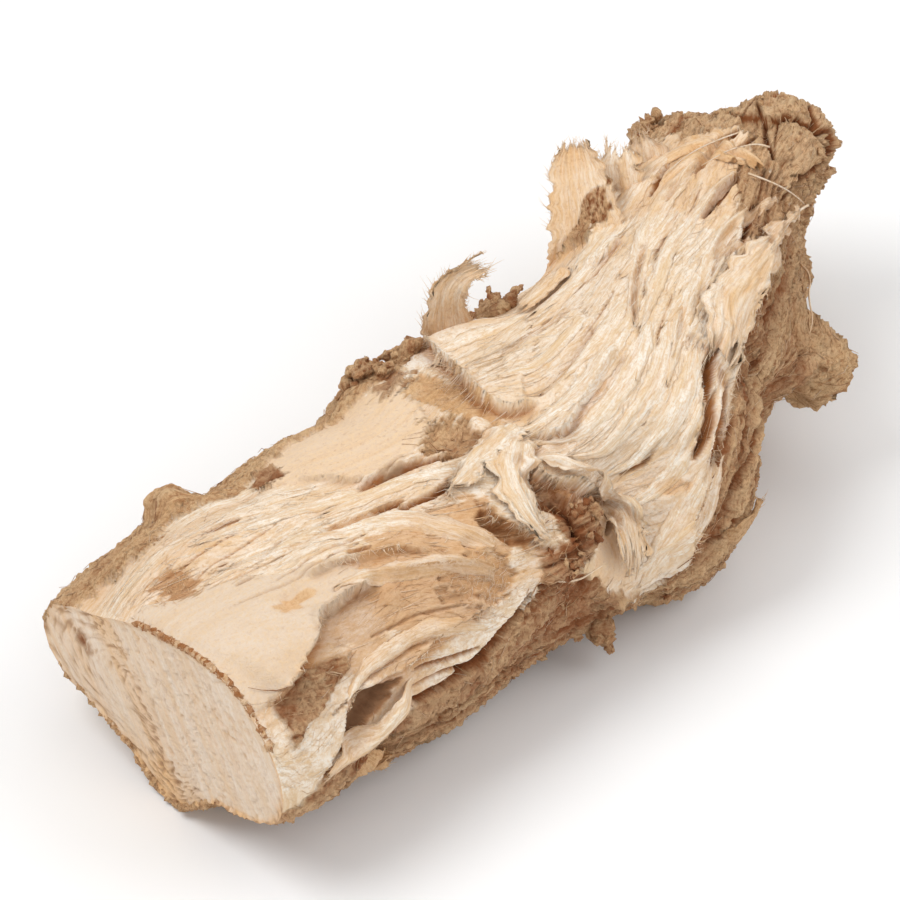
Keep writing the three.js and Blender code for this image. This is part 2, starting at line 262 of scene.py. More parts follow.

# Patches: what each is, how much it takes of each look, how ragged its border is, the border.
# bark: rough brown bark. tone: warmer, tan. dark: brown, and painted shade
# in hollows and shaded places. sink: depth.
# calm: how much of the fibre relief is smoothed away.
PATCHES = [
    ("left bark", dict(bark=0.8, tone=0.8, sink=-0.2), 0.9, [(-6, -20), (-6, 24), (0, 26), (5, 37),
     (7.5, 44), (10.5, 40), (13, 46), (16.5, 54), (22, 50), (30, 43), (38, 45), (44, 30), (44, -20)]),
    ("tan plate", dict(tone=0.42, calm=1.0, sink=-0.25), 0.6, [(18, 60), (19, 46), (25.5, 46), (30.5, 43),
     (37, 47), (38, 58), (35.5, 67), (34, 80), (32.5, 88), (28, 91), (24.5, 86), (20, 72)]),
    ("dark graze on the plate", dict(bark=0.9, dark=0.2, sink=0.1), 0.9, [(17.4, 55), (18, 62), (20, 63),
     (21, 56), (19, 52)]),
    ("graze by the crumbs", dict(bark=0.7, dark=0.25, sink=0.05), 1.2, [(34, 48), (34, 58), (37, 57),
     (38.4, 48), (37, 42)]),
    ("graze on the tall lobe", dict(bark=0.9, dark=0.1, tone=0.5), 0.8, [(62, 50), (64, 57), (67, 56),
     (71, 50), (74, 42), (72, 38), (66, 42)]),
    ("apron", dict(tone=0.1, dark=0.14, calm=0.9), 0.3, [(-3, 60), (2, 66), (5, 80), (9, 92), (12, 104),
     (16, 112), (17, 122), (14, 124), (9, 130), (3, 137), (-3, 140)]),
    ("dark triangle below the apron", dict(bark=1.0, dark=0.18, sink=0.3), 0.5, [(2.5, 137), (6.5, 134.5),
     (9.5, 136), (11.5, 138), (10.5, 142), (7.5, 146), (4, 151), (2.2, 154)]),
    # Painted shade: the dark of this deep hollow.
    ("hollow in the flank", dict(dark=0.72, sink=1.9, calm=0.6), 0.6, [(6.4, 166), (8.4, 158), (9.6, 152),
     (10.5, 149.5), (12.5, 152), (15.4, 156), (13.4, 160), (10.5, 164), (8, 168)]),
    # Its dark is painted shade.
    ("hair tangle", dict(tone=0.8, dark=0.16, sink=0.5), 1.6, [(22, 140), (24, 131), (27.5, 130), (30, 138),
     (30.4, 148), (28, 153), (25, 149)]),
    ("hollow left of the crease", dict(dark=0.1, bark=0.65, tone=0.8, sink=0.9, calm=0.6), 1.7, [(35.6, 79),
     (37.4, 89), (37.4, 99), (35, 105), (32, 99), (31.6, 90), (33, 82)]),
    ("orange fringe", dict(tone=0.9, dark=0.04, bark=0.3, sink=0.3), 1.2, [(37, 52), (40, 56), (40.4, 80),
     (40, 98), (38, 100), (38, 88), (36, 78), (35, 62)]),
    # Painted shadow under the crease sheet, over brown bark.
    ("hollow below the crease sheet", dict(dark=0.35, tone=1.0, bark=0.4, sink=1.0), 0.5, [(30.4, 120),
     (31, 128), (32.5, 136), (33.5, 143), (32, 143), (30, 136), (29.2, 127)]),
    # Painted shadow under the upper sheet, over brown bark.
    ("hollow under the upper sheet", dict(dark=0.32, bark=0.7, sink=1.4), 0.5, [(35.6, 117), (37.3, 128),
     (40, 138), (38.4, 141), (37, 150), (35.6, 148), (36, 138), (35, 126)]),
    ("knobs in the crease", dict(bark=1.0, dark=0.2), 0.5, [(38, 134), (42.6, 148), (41, 158), (38.4, 161),
     (35, 162), (31.6, 157), (32.6, 147), (35.6, 146), (36.4, 134)]),
    ("bark under the crease", dict(bark=1.0, dark=0.2, sink=0.2), 0.9, [(32, 155), (38, 165), (39.6, 178),
     (43, 200), (30, 200), (20, 190), (27, 170), (30, 160)]),
    ("yellow sheet ground", dict(tone=0.5, calm=0.5), 0.5, [(42.6, 148), (44.5, 154), (45.5, 162),
     (45.4, 176), (42.5, 178), (39, 175), (37.5, 167), (40, 161)]),
    ("right flank", dict(bark=1.0, tone=0.4, dark=0.06, sink=0.25), 0.9, [(78, 134), (72, 128), (68, 127),
     (62.5, 134), (56, 142), (52, 153), (49.5, 168), (48, 183), (44, 196), (44, 240), (95, 240), (95, 150),
     (82, 133)]),
    ("low flank", dict(bark=1.0, tone=0.2, dark=0.1), 0.9, [(-6, 180), (2.5, 173), (5, 167.5), (8, 169),
     (11.5, 170), (16.5, 167.5), (20, 168), (23.5, 165.5), (27, 162), (29.5, 158), (33, 156), (36, 163),
     (45, 196), (45, 240), (-6, 240)]),
    ("crown", dict(bark=0.84, tone=0.5, sink=0.3), 1.3, [(86, -20), (83.5, 20), (82.0, 40), (82.0, 55),
     (82.2, 64), (82.6, 71), (83.4, 80), (84.2, 88), (83.2, 97), (81, 108), (78, 133), (77, 160), (80, 240),
     (99, 240), (99, -20)]),
    ("bark left of the crown", dict(bark=0.8, dark=0.1), 0.6, [(83.5, 20), (83.5, 36), (84.5, 47),
     (86.4, 60), (90, 60), (90, 20)]),
    ("underside", dict(bark=0.8, tone=0.4), 1.2, [(-6, 218), (84, 218), (84, 332), (-6, 332)]),
    ("left side low", dict(bark=0.55, tone=0.4), 1.2, [(44, -40), (44, 2), (58, 6), (70, -6), (86, -10),
     (86, -40)]),
    ("fuzzy hollow", dict(dark=0.34, tone=0.8, calm=0.3), 1.2, [(3.8, 60), (6.6, 64), (7, 78), (5.6, 86),
     (4, 76)]),
    ("pit in the apron", dict(dark=0.2, tone=0.9), 0.5, [(8, 112), (10.2, 110), (12.2, 113), (12.4, 118),
     (10.4, 121), (8.2, 118)]),
    ("olive spot", dict(tone=0.9, dark=0.12, sink=0.15), 0.5, [(47.4, 152), (49.4, 152), (50, 158),
     (48, 159)]),
    ("brown in the long slit", dict(dark=0.25, tone=0.7), 0.3, [(18, 96), (22, 99), (26, 103.6), (25, 106.4),
     (20, 101.6)]),
    # Painted shade: tone and dark darken this low strip.
    ("shaded low strip", dict(tone=0.5, dark=0.16), 1.2, [(9, 139), (13, 137), (18, 141), (22, 147),
     (24, 154), (18, 153), (12, 151)]),
    ("dusty bud", dict(bark=0.72, tone=0.9), 1.2, [(64, 178), (67, 170), (74, 174), (75, 190), (72, 206),
     (66, 208), (63, 194)]),
    ("warm top", dict(tone=0.5), 1.6, [(64, 40), (66, 62), (70, 84), (69, 104), (80, 116), (89, 100),
     (89, 40)]),
    ("warm base of the lobe", dict(tone=0.6), 0.8, [(58, 44), (64, 56), (72, 52), (78, 42), (76, 30),
     (58, 30)]),
    ("warm leaf", dict(tone=0.36), 0.6, [(56, 134), (60, 120), (66, 114), (74, 120), (77, 132), (68, 125),
     (62, 131)]),
    ("shaded lower sheet", dict(tone=0.2, dark=0.24, calm=0.35), 0.8, [(9.5, 127.5), (12.5, 122),
     (15.2, 122.5), (18.2, 125.5), (22.8, 131.5), (26, 138), (27.5, 147), (24, 152), (20, 150), (17, 143),
     (13.5, 138), (10.5, 134)]),
    # Painted shade: tone and dark darken the end of the sweep.
    ("shaded end of the sweep", dict(tone=0.75, dark=0.2), 1.2, [(18, 112), (27, 112), (31, 121), (31, 140),
     (28, 152), (20, 152), (15, 141), (16, 126)]),
    ("torn edge beside the crown", dict(bark=0.85, tone=0.6, dark=0.14, sink=0.5), 0.8, [(80.5, 102),
     (77.5, 102), (74.5, 105), (71.5, 111), (70, 118), (68.8, 124), (73, 129), (78, 136), (81, 120)]),
]


def spine_at(along):
    """Places and headings of the spine, in millimetres from the frame's origin."""
    radius = BEND_LENGTH / BEND_ANGLE
    turned = np.clip(along - BEND_START, 0, BEND_LENGTH) / radius
    straight = np.minimum(along, BEND_START)
    beyond = np.maximum(along - BEND_START - BEND_LENGTH, 0)
    x = CAD_LOW[0] / MM + straight + radius * np.sin(turned) + beyond * np.cos(turned)
    y = SPINE_SIDE + radius * (1 - np.cos(turned)) + beyond * np.sin(turned)
    return x, y, turned


def through(along, column):
    """A smooth curve through one column of the stations."""
    places, values = STATIONS[:, 0], STATIONS[:, column]
    i = np.clip(np.searchsorted(places, along), 1, len(places) - 1)
    before = np.where(i > 1, i - 2, 0)
    after = np.minimum(i + 1, len(places) - 1)
    span = places[i] - places[i - 1]
    slope0 = (values[i] - values[before]) / (places[i] - places[before]) * span
    slope1 = (values[after] - values[i - 1]) / (places[after] - places[i - 1]) * span
    t = np.clip((along - places[i - 1]) / span, 0, 1)
    t2, t3 = t * t, t * t * t
    return (
        (2 * t3 - 3 * t2 + 1) * values[i - 1]
        + (t3 - 2 * t2 + t) * slope0
        + (3 * t2 - 2 * t3) * values[i]
        + (t3 - t2) * slope1
    )


def spine_point(along):
    x, y, _ = spine_at(along)
    return np.stack([x, y, through(along, 1)], -1)


def bend_through(a, b, c, d, t):
    """The smooth curve from b to c that comes from a and goes on to d."""
    return 0.5 * (2 * b + (c - a) * t + (2 * a - 5 * b + 4 * c - d) * t**2 + (3 * b - a - 3 * c + d) * t**3)


def gaps(angle, middle):
    """Degrees from the middle, the short way round."""
    return (angle - middle + 540) % 360 - 180


def trunk_radius(along, angle):
    radii = np.stack([through(along, c) for c in range(2, 10)], -1)
    turn = (angle % 360) / 45
    k = np.floor(turn).astype(int)
    t = turn - k
    corners = (np.take_along_axis(radii, ((k + n) % 8)[..., None], -1)[..., 0] for n in (-1, 0, 1, 2))
    radius = bend_through(*corners, t)
    for at, middle, reach, spread, height in SWELLINGS.values():
        off = ((along - at) / reach) ** 2 + (gaps(angle, middle) / spread) ** 2
        radius = radius + height * np.exp(-(off**1.5))
    for middle, spread, heights in SIDES:
        turned = gaps(angle, middle) / spread
        radius = radius + np.interp(along, *np.array(heights, float).T) * np.exp(-(turned**2))
    return radius


def smooth_trunk(along, angle):
    """Points of the smooth trunk, in millimetres."""
    along, angle = np.broadcast_arrays(np.asarray(along, float), np.asarray(angle, float))
    x, y, heading = spine_at(along)
    radius = trunk_radius(along, angle)
    left = radius * np.cos(np.radians(angle))
    up = through(along, 1) + radius * np.sin(np.radians(angle))
    return np.stack([x - left * np.sin(heading), y + left * np.cos(heading), up], -1)


def unit(v):
    return v / np.maximum(np.linalg.norm(v, axis=-1, keepdims=True), 1e-9)


def trunk_frame(along, angle):
    """Points of the smooth trunk with the directions along, round and out."""
    along, angle = np.broadcast_arrays(np.asarray(along, float), np.asarray(angle, float))
    step, turn = 0.15, 0.8
    here = smooth_trunk(along, angle)
    ahead = unit(smooth_trunk(np.minimum(along + step, TIP), angle) - smooth_trunk(along - step, angle))
    around = unit(smooth_trunk(along, angle + turn) - smooth_trunk(along, angle - turn))
    out = unit(np.cross(around, ahead))
    return here, ahead, around, out


# Noise


def scatter(ix, iy, iz, seed):
    """A fixed random value from -1 to 1 for each whole-number place."""
    n = (ix * 374761393 + iy * 668265263 + iz * 1442695041 + seed * 144665) & 0xFFFFFFFF
    n = ((n ^ (n >> 13)) * 1274126177) & 0xFFFFFFFF
    n = ((n ^ (n >> 16)) * 2246822519) & 0xFFFFFFFF
    return ((n ^ (n >> 15)) & 0xFFFF) / 32767.5 - 1.0


def noise(x, y, z=0.0, seed=0, wrap=None):
    """Smooth noise from -1 to 1; wrap repeats it after that many steps of x."""
    x, y, z = np.broadcast_arrays(np.asarray(x, float), np.asarray(y, float), np.asarray(z, float))
    fx, fy, fz = np.floor(x), np.floor(y), np.floor(z)
    tx, ty, tz = x - fx, y - fy, z - fz
    ix, iy, iz = fx.astype(np.int64), fy.astype(np.int64), fz.astype(np.int64)
    ease = [t * t * (3 - 2 * t) for t in (tx, ty, tz)]
    total = 0.0
    for dx, dy, dz in itertools.product((0, 1), repeat=3):
        cx = (ix + dx) % wrap if wrap else ix + dx
        wx, wy, wz = (e if d else 1 - e for e, d in zip(ease, (dx, dy, dz)))
        total = total + wx * wy * wz * scatter(cx, iy + dy, iz + dz, seed)
    return total


def layered(points, size, octaves=3, seed=0):
    """Noise of several sizes at points in space."""
    total, weight, full = 0.0, 1.0, 0.0
    for o in range(octaves):
        p = points / (size * 0.5**o)
        total = total + weight * noise(p[..., 0], p[..., 1], p[..., 2], seed + 17 * o)
        full += weight
        weight *= 0.55
    return total / full * 1.6


def cells(points, size, seed=0):
    """Distances to the nearest two of scattered points, and a value and a slope of the nearest."""
    p = points / size
    base = np.floor(p).astype(np.int64)
    near, second = np.full((2, *p.shape[:-1]), 9.0)
    tint, slant = np.zeros((2, *p.shape[:-1]))
    for step in itertools.product((-1, 0, 1), repeat=3):
        c = base + step
        values = [scatter(c[..., 0], c[..., 1], c[..., 2], seed + k) for k in range(1, 8)]
        away = p - (c + 0.5 + 0.42 * np.stack(values[:3], -1))
        d = np.linalg.norm(away, axis=-1)
        closer = d < near
        slant = np.where(closer, (away * np.stack(values[4:], -1)).sum(-1), slant)
        second = np.where(closer, near, np.minimum(second, d))
        tint = np.where(closer, values[3], tint)
        near = np.where(closer, d, near)
    return near, second, tint, slant


def smooth(low, high, x):
    t = np.clip((x - low) / (high - low), 0, 1)
    return t * t * (3 - 2 * t)


# The lay of the fibres

LAY_REACH, LAY_SPREAD = 8.0, 15.0
LAY_CENTRES = np.array([(a, b) for a in np.arange(-2, 100, 7.5) for b in np.arange(12, 222, 13.0)])


def lay_basis(along, angle):
    da = (along[..., None] - LAY_CENTRES[:, 0]) / LAY_REACH
    db = (angle[..., None] - LAY_CENTRES[:, 1]) / LAY_SPREAD
    bump = np.exp(-(da**2) - db**2)
    return bump, -2 * da / LAY_REACH * bump, -2 * db / LAY_SPREAD * bump


def fit_lay():
    """Weights of the bumps that bend the fibres to FIBRE_LINES."""
    rows, wanted = [], []
    for line in FIBRE_LINES:
        line = np.array(line, float)
        for p, q in zip(line[:-1], line[1:]):
            run = (q - p) * (1, DEGREE)
            length = np.linalg.norm(run)
            steps = max(2, int(length / 1.5))
            spots = p + (q - p) * (np.arange(steps)[:, None] + 0.5) / steps
            _, by_along, by_angle = lay_basis(spots[:, 0], spots[:, 1])
            ta, tb = (q - p) / length
            rows.append(ta * by_along + tb * by_angle)
            wanted.append(np.full(steps, -tb))
    hold = 0.06 * np.eye(len(LAY_CENTRES))
    matrix = np.vstack(rows + [hold])
    aim = np.concatenate(wanted + [np.zeros(len(LAY_CENTRES))])
    return np.linalg.lstsq(matrix, aim, rcond=None)[0]


LAY = fit_lay()


def across_fibres(along, angle):
    """A number in degrees that stays the same along each fibre."""
    turned = (angle + 90) % 360 - 90
    flat_along, flat_angle = along.ravel(), turned.ravel()
    result = flat_angle.copy()
    for start in range(0, len(result), 60000):
        part = slice(start, start + 60000)
        result[part] += lay_basis(flat_along[part], flat_angle[part])[0] @ LAY
    return result.reshape(along.shape) + (angle - turned)


def lay_direction(along, angle):
    """Direction of the fibres as steps of along and angle, running to lower along."""
    along, angle = np.atleast_1d(along).astype(float), np.atleast_1d(angle).astype(float)
    _, by_along, by_angle = lay_basis(along, angle)
    ga, gb = by_along @ LAY, 1 + by_angle @ LAY
    run = np.stack([-gb, ga], -1)
    return run / np.linalg.norm(run * (1, DEGREE), axis=-1, keepdims=True)


# Lines and borders drawn on the trunk


def near_line(along, angle, line):
    """Distance to a line in millimetres, the side it is on, and how far down the line."""
    line = np.array(line, float) * (1, DEGREE)
    p = np.stack([along, angle * DEGREE], -1)
    best = np.full(along.shape, 1e9)
    side = np.zeros(along.shape)
    down = np.zeros(along.shape)
    lengths = np.linalg.norm(np.diff(line, axis=0), axis=1)
    run = 0.0
    for a, b, length in zip(line[:-1], line[1:], lengths):
        t = np.clip(((p - a) @ (b - a)) / length**2, 0, 1)
        off = p - a - t[..., None] * (b - a)
        d = np.linalg.norm(off, axis=-1)
        s = np.sign((b - a)[0] * (p - a)[..., 1] - (b - a)[1] * (p - a)[..., 0])
        closer = d < best
        best = np.where(closer, d, best)
        side = np.where(closer, s, side)
        down = np.where(closer, (run + t * length) / lengths.sum(), down)
        run += length
    return best, side, down


def inside(along, angle, border):
    """Signed distance in millimetres to a closed border, positive inside."""
    ring = np.array(border, float)
    ring = np.vstack([ring, ring[:1]])
    d, _, _ = near_line(along, angle, ring)
    crossed = np.zeros(along.shape, bool)
    for (a0, b0), (a1, b1) in zip(ring[:-1], ring[1:]):
        if b0 == b1:
            continue
        spans = (angle < b0) != (angle < b1)
        at = a0 + (angle - b0) / (b1 - b0) * (a1 - a0)
        crossed ^= spans & (along < at)
    return np.where(crossed, d, -d)


def within(along, angle, line, margin):
    line = np.array(line, float)
    low, high = line.min(0), line.max(0)
    return (
        (along > low[0] - margin)
        & (along < high[0] + margin)
        & (angle > low[1] - margin / DEGREE)
        & (angle < high[1] + margin / DEGREE)
    )


# The relief of the trunk

MASKS = ("bark", "tone", "dark", "calm")

# Folds of the fibres, larger to smaller: length, height, steps round, seed, waviness,
# sharpness and how much painted shade the valleys between them get.
FOLDS = [
    (32, 0.62, 20, 20, 0.3, 1.3, 0.5),
    (22, 0.24, 40, 21, 0.4, 1.5, 0.36),
    (11, 0.1, 90, 22, 0.4, 1.9, 0.22),
    (6, 0.05, 180, 23, 0.4, 2.2, 0.22),
]

# Strings of the bark, larger to smaller: length, height, steps round, seed, and how dark
# the painted shade in the grooves between them is.
STRINGS = [
    (30, 0.8, 45, 43, 0.75),
    (24, 0.5, 100, 44, 0.7),
    (15, 0.28, 220, 45, 0.6),
    (10, 0.1, 440, 46, 0.4),
]


def fibre_noise(v, along, steps, run, seed, wave, waver):
    """Noise drawn out along the fibres, with that many steps round the trunk."""
    n = noise(v * steps / 360, along / run, seed=seed, wrap=steps)
    return n + wave * noise(v * steps / 360, along / (run * waver), seed=seed + 50, wrap=steps)


def deepen(look, where, shade, key="dark"):
    look[key][where] = np.maximum(look[key][where], shade)


def relief(along, angle, spots=None):
    """Height over the smooth trunk and the looks of each place, from its along and angle."""
    along, angle = np.asarray(along, float), np.asarray(angle, float)
    shape = along.shape
    along, angle = along.ravel(), ((angle.ravel() + 90) % 360) - 90
    if spots is None:
        spots = smooth_trunk(along, angle)
    spots = spots.reshape(-1, 3)
    v = across_fibres(along, angle)
    wander = noise(v / 12, along / 14, seed=3, wrap=30)
    v = v + 1.4 * wander
    look = {k: np.zeros(along.shape) for k in MASKS}
    height = np.zeros(along.shape)
    grain = layered(spots, 1.1, 3, seed=5)
    teeth = noise(v * 1.3, along / 2.2, seed=8, wrap=468)
    teeth = teeth + 0.6 * noise(v * 2.9, along / 1.4, seed=9, wrap=1044)

    # The crown and the bud are broken into flat faces.
    for at, turned, inset, reach, *tilts in FACETS:
        centre, ahead, around, out = trunk_frame(np.array(at), np.array(turned))
        away = np.linalg.norm(spots - centre, axis=-1)
        near = away < reach
        if not near.any():
            continue
        tilt_along, tilt_round = (math.tan(math.radians(tilt)) for tilt in tilts)
        face = unit(out + ahead * tilt_along + around * tilt_round)
        over = (spots[near] - centre) @ face + inset
        facing = np.clip((unit(spots[near] - spine_point(along[near])) * face).sum(-1), 0.45, 1)
        edge = smooth(reach, reach * 0.75, away[near])
        height[near] -= edge * np.clip(over * 0.95 / facing, 0, 2.4)

    for _, takes, ragged, border in PATCHES:
        wrapped = angle if max(b[1] for b in border) < 272 else angle % 360
        near = within(along, wrapped, border, 3.0)
        if not near.any():
            continue
        d = inside(along[near], wrapped[near], border)
        d = d + ragged * (0.55 * grain[near] + 0.45 * teeth[near])
        mask = smooth(-0.12, 0.22, d)
        for k in MASKS:
            if k in takes:
                deepen(look, near, takes[k] * mask, k)
        if "sink" in takes:
            height[near] -= takes["sink"] * smooth(-0.15, 0.55 if takes["sink"] < 1 else 0.9, d)

    for step, back, side, ragged, line in SHEET_EDGES:
        near = within(along, angle, line, back * 2.2)
        if not near.any():
            continue
        d, s, down = near_line(along[near], angle[near], line)
        ends = smooth(0, 0.12, down) * smooth(1, 0.88, down)
        q = d * s * side + ragged * teeth[near] * 0.7 + 0.25 * ragged * grain[near]
        raised = smooth(-0.10, 0.10, q) * np.exp(-np.maximum(q, 0) / back)
        lip = 0.35 * np.exp(-((q - 0.12) / 0.22) ** 2)
        low = smooth(0.1, -0.25, q) * np.exp(np.minimum(q, 0) / 0.9)
        height[near] += ends * step * (raised + lip - 0.45 * low)
        # Painted shadow on the low side, under the raised sheet's edge.
        deepen(look, near, ends * low * min(0.55, 0.5 * step + 0.12))
        deepen(look, near, 0.2 * ends * raised, "calm")

    slit_shade = np.zeros(along.shape)
    for width, depth, line in SLITS:
        near = within(along, angle, line, width + 1.0)
        if not near.any():
            continue
        d, _, down = near_line(along[near], angle[near], line)
        half = 0.36 * width * np.sqrt(np.clip(1 - (2 * down - 1) ** 2, 0, 1)) ** 0.8
        half = half * (1 + 0.35 * teeth[near])
        cut = smooth(1.0, 0.45, d / np.maximum(half, 0.05)) * (half > 0.05)
        lip = np.exp(-(((d - half - 0.12) / 0.22) ** 2)) * smooth(0.05, 0.3, half)
        height[near] += -0.7 * depth * cut + 0.12 * min(depth, 1) * lip
        # Painted shade: the slit is darkened more the deeper it is.
        slit_shade[near] = np.maximum(slit_shade[near], cut * min(0.8, 0.14 + 0.32 * depth))
    look["dark"] = np.maximum(look["dark"], slit_shade)

    # Bundles of fibres: rounded ridges with sharp valleys, larger to smaller.
    fibrous = (1 - look["bark"]) * (1 - look["calm"])
    folded = 0.45 + 0.55 * smooth(-0.5, 0.5, noise(v / 20, along / 16, seed=12, wrap=18))
    valley = np.zeros(along.shape)
    for run, tall, steps, seed, wave, sharp, shade in FOLDS:
        ridge = np.exp(-1.3 * (fibre_noise(v, along, steps, run, seed, wave, 0.35) * sharp) ** 2)
        height += tall * fibrous * folded * (0.5 - ridge)
        valley = np.maximum(valley, folded * ridge**3 * shade)
    # Painted shade: the valleys between the folds and the low places are darkened towards tan shade.
    low = 0.4 * smooth(0.0, -0.6, height)
    look["valley"] = np.clip(valley * fibrous + low * (1 - look["bark"]), 0, 1)

    # Bark: stringy along the fibres, crumbly where it has broken.
    bark = look["bark"]
    rough = bark > 0.02
    look["grain"] = np.zeros(along.shape)
    if rough.any():
        p, vr, ar = spots[rough], v[rough], along[rough]
        from_bud = np.hypot(ar - 70.5, (angle[rough] - 190) * 0.2)
        stringy = 1 - np.maximum(smooth(79, 84, ar), smooth(7.5, 5.0, from_bud))
        strings, dark = np.zeros((2, len(ar)))
        for run, tall, steps, seed, darkness in STRINGS:
            ridge = 1 - np.minimum(np.abs(fibre_noise(vr, ar, steps, run, seed, 0.3, 0.3)) * 2.2, 1.0)
            strings += tall * (0.4 - ridge**1.5)
            # Painted shade in the grooves between the strings.
            dark = np.maximum(dark, darkness * ridge**2)
        lumps = layered(p, 3.4, 4, seed=34)
        near1, near2, tint, slant = cells(p + 0.5 * lumps[:, None], 1.7, seed=31)
        crack = (1 - smooth(0.02, 0.12, near2 - near1)) * smooth(-0.1, 0.5, noise(*(p / 2.8).T, seed=36))
        _, _, small, tilt = cells(p, 0.75, seed=37)
        fine = layered(p, 0.5, 3, seed=33)
        crumbly = 0.34 * lumps + 0.55 * slant + 0.10 * tint - 0.28 * crack + 0.22 * tilt + 0.06 * small
        height[rough] += bark[rough] * (stringy * strings + (1 - 0.8 * stringy) * crumbly + 0.3 * fine)
        # Painted shade in the pits and cracks of the bark.
        pit_shade = 0.22 * smooth(0.25, 0.8, -fine) + 0.22 * smooth(0.15, 0.7, -lumps)
        pit_shade = pit_shade + 0.10 * smooth(0.2, 0.8, -small)
        dark = 0.8 * stringy * dark + (1 - 0.5 * stringy) * 0.45 * crack + (0.3 + 0.5 * stringy) * pit_shade
        deepen(look, rough, bark[rough] * (look["dark"][rough] * 0.8 + 0.55 * dark))
        # Grain lightens the bark to tan: partly its own mottle, partly a painted highlight on the tops of the
        # strings.
        look["grain"][rough] = np.clip(
            0.5 + 0.4 * tint * (1 - stringy) + 0.3 * small + 0.4 * fine + 0.9 * stringy * strings, 0, 1)

    crown = smooth(80, 85, along + 3 * grain) * look["bark"]
    blocky = crown > 0.02
    if blocky.any():
        p = spots[blocky] + 0.5 * layered(spots[blocky], 1.6, 2, seed=63)[:, None]
        near1, near2, tint, slant = cells(p, 5.2, seed=61)
        gap = (1 - smooth(0.015, 0.09, near2 - near1)) * smooth(-0.6, 0.2, tint)
        height[blocky] += crown[blocky] * (0.4 * tint + 1.3 * slant - 0.9 * gap - 0.3)
        # Painted shade in the gaps between the blocks.
        deepen(look, blocky, 0.75 * crown[blocky] * gap)

    # The cut end stays flat, so the relief fades towards it.
    height *= 0.35 + 0.65 * smooth(0.0, 1.6, along)
    look["height"] = height
    look["lie_across"] = v
    return {k: a.reshape(shape) for k, a in look.items()}


def detailed(along, angle):
    """Points of the finished surface with its directions and looks."""
    here, ahead, around, out = trunk_frame(along, angle)
    look = relief(along, angle, here)
    here = here + out * look["height"][..., None]
    here[..., 2] = settle(here[..., 2])
    return here, ahead, around, out, look


def settle(z):
    """Nothing reaches below the surface that the piece rests on."""
    soft = 0.25
    return np.where(z < soft, soft * np.exp(np.minimum(z - soft, 0) / soft), z)


# Meshes

BOX_MARGIN = 0.012
LOOKS = ("bark", "tone", "dark", "calm", "valley", "grain")


def make_piece(name, points, face_sets, looks, lie, material):
    """A mesh in metres from points in millimetres, with the looks as attributes."""
    mesh = bpy.data.meshes.new(name)
    points = np.asarray(points, float) * MM
    corners = np.concatenate([np.asarray(f, np.int32).ravel() for f in face_sets])
    sizes = np.concatenate([np.full(len(f), f.shape[1], np.int32) for f in face_sets])
    mesh.vertices.add(len(points))
    mesh.vertices.foreach_set("co", points.astype(np.float32).ravel())
    mesh.loops.add(len(corners))
    mesh.loops.foreach_set("vertex_index", corners)
    mesh.polygons.add(len(sizes))
    mesh.polygons.foreach_set("loop_start", np.concatenate([[0], np.cumsum(sizes)[:-1]]).astype(np.int32))
    mesh.update(calc_edges=True)
    mesh.validate()
    mesh.polygons.foreach_set("use_smooth", np.full(len(mesh.polygons), True))
    for k in LOOKS:
        layer = mesh.attributes.new(k, "FLOAT", "POINT")
        layer.data.foreach_set("value", np.asarray(looks[k], np.float32).ravel())
    layer = mesh.attributes.new("lie", "FLOAT_VECTOR", "POINT")
    layer.data.foreach_set("vector", np.asarray(lie, np.float32).ravel())
    mesh.materials.append(material)
    piece = bpy.data.objects.new(name, mesh)
    bpy.context.collection.objects.link(piece)
    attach(piece, "root")
    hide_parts("rhizome")
    return piece


class Heap:
    """Collects meshes that end up in one piece."""

    def __init__(self):
        self.points, self.quads, self.tris, self.lie = [], [], [], []
        self.looks = {k: [] for k in LOOKS}
        self.count = 0

    def add(self, points, quads, tris, looks, lie):
        points = points.reshape(-1, 3)
        self.points.append(points)
        self.quads.append(np.asarray(quads, np.int64).reshape(-1, 4) + self.count)
        self.tris.append(np.asarray(tris, np.int64).reshape(-1, 3) + self.count)
        for k in LOOKS:
            self.looks[k].append(np.broadcast_to(looks.get(k, 0.0), (len(points),)))
        self.lie.append(lie.reshape(-1, 3))
        self.count += len(points)

    def make(self, name, material):
        faces = [f for f in (np.concatenate(self.quads), np.concatenate(self.tris)) if len(f)]
        looks = {k: np.concatenate(a) for k, a in self.looks.items()}
        return make_piece(name, np.concatenate(self.points), faces, looks, np.concatenate(self.lie), material)


def grid_faces(rows, columns, closed):
    """Four-cornered faces of a grid of points; closed joins the last column to the first."""
    i = np.arange(rows - 1)[:, None]
    j = np.arange(columns if closed else columns - 1)[None, :]
    nxt = (j + 1) % columns
    quads = np.stack([i * columns + j, i * columns + nxt, (i + 1) * columns + nxt, (i + 1) * columns + j], -1)
    return quads.reshape(-1, 4)


def columns_round():
    """Angles of the grid's columns, closer together where the torn fibres are."""
    return np.concatenate([np.arange(28, 226, 0.55), np.arange(226, 388, 1.8)])


def close_end(points, looks, lie, columns):
    """Adds a middle point to a grid, and the fan that joins the grid's last row to it."""
    last = np.arange(len(points) - columns, len(points))
    fan = np.stack([last, np.roll(last, -1), np.full(columns, len(points))], -1)
    looks = {k: np.append(a, a.ravel()[last].mean()) for k, a in looks.items()}
    return np.vstack([points, points[last].mean(0)]), looks, np.vstack([lie, lie[last].mean(0)]), fan


# Torn sheets


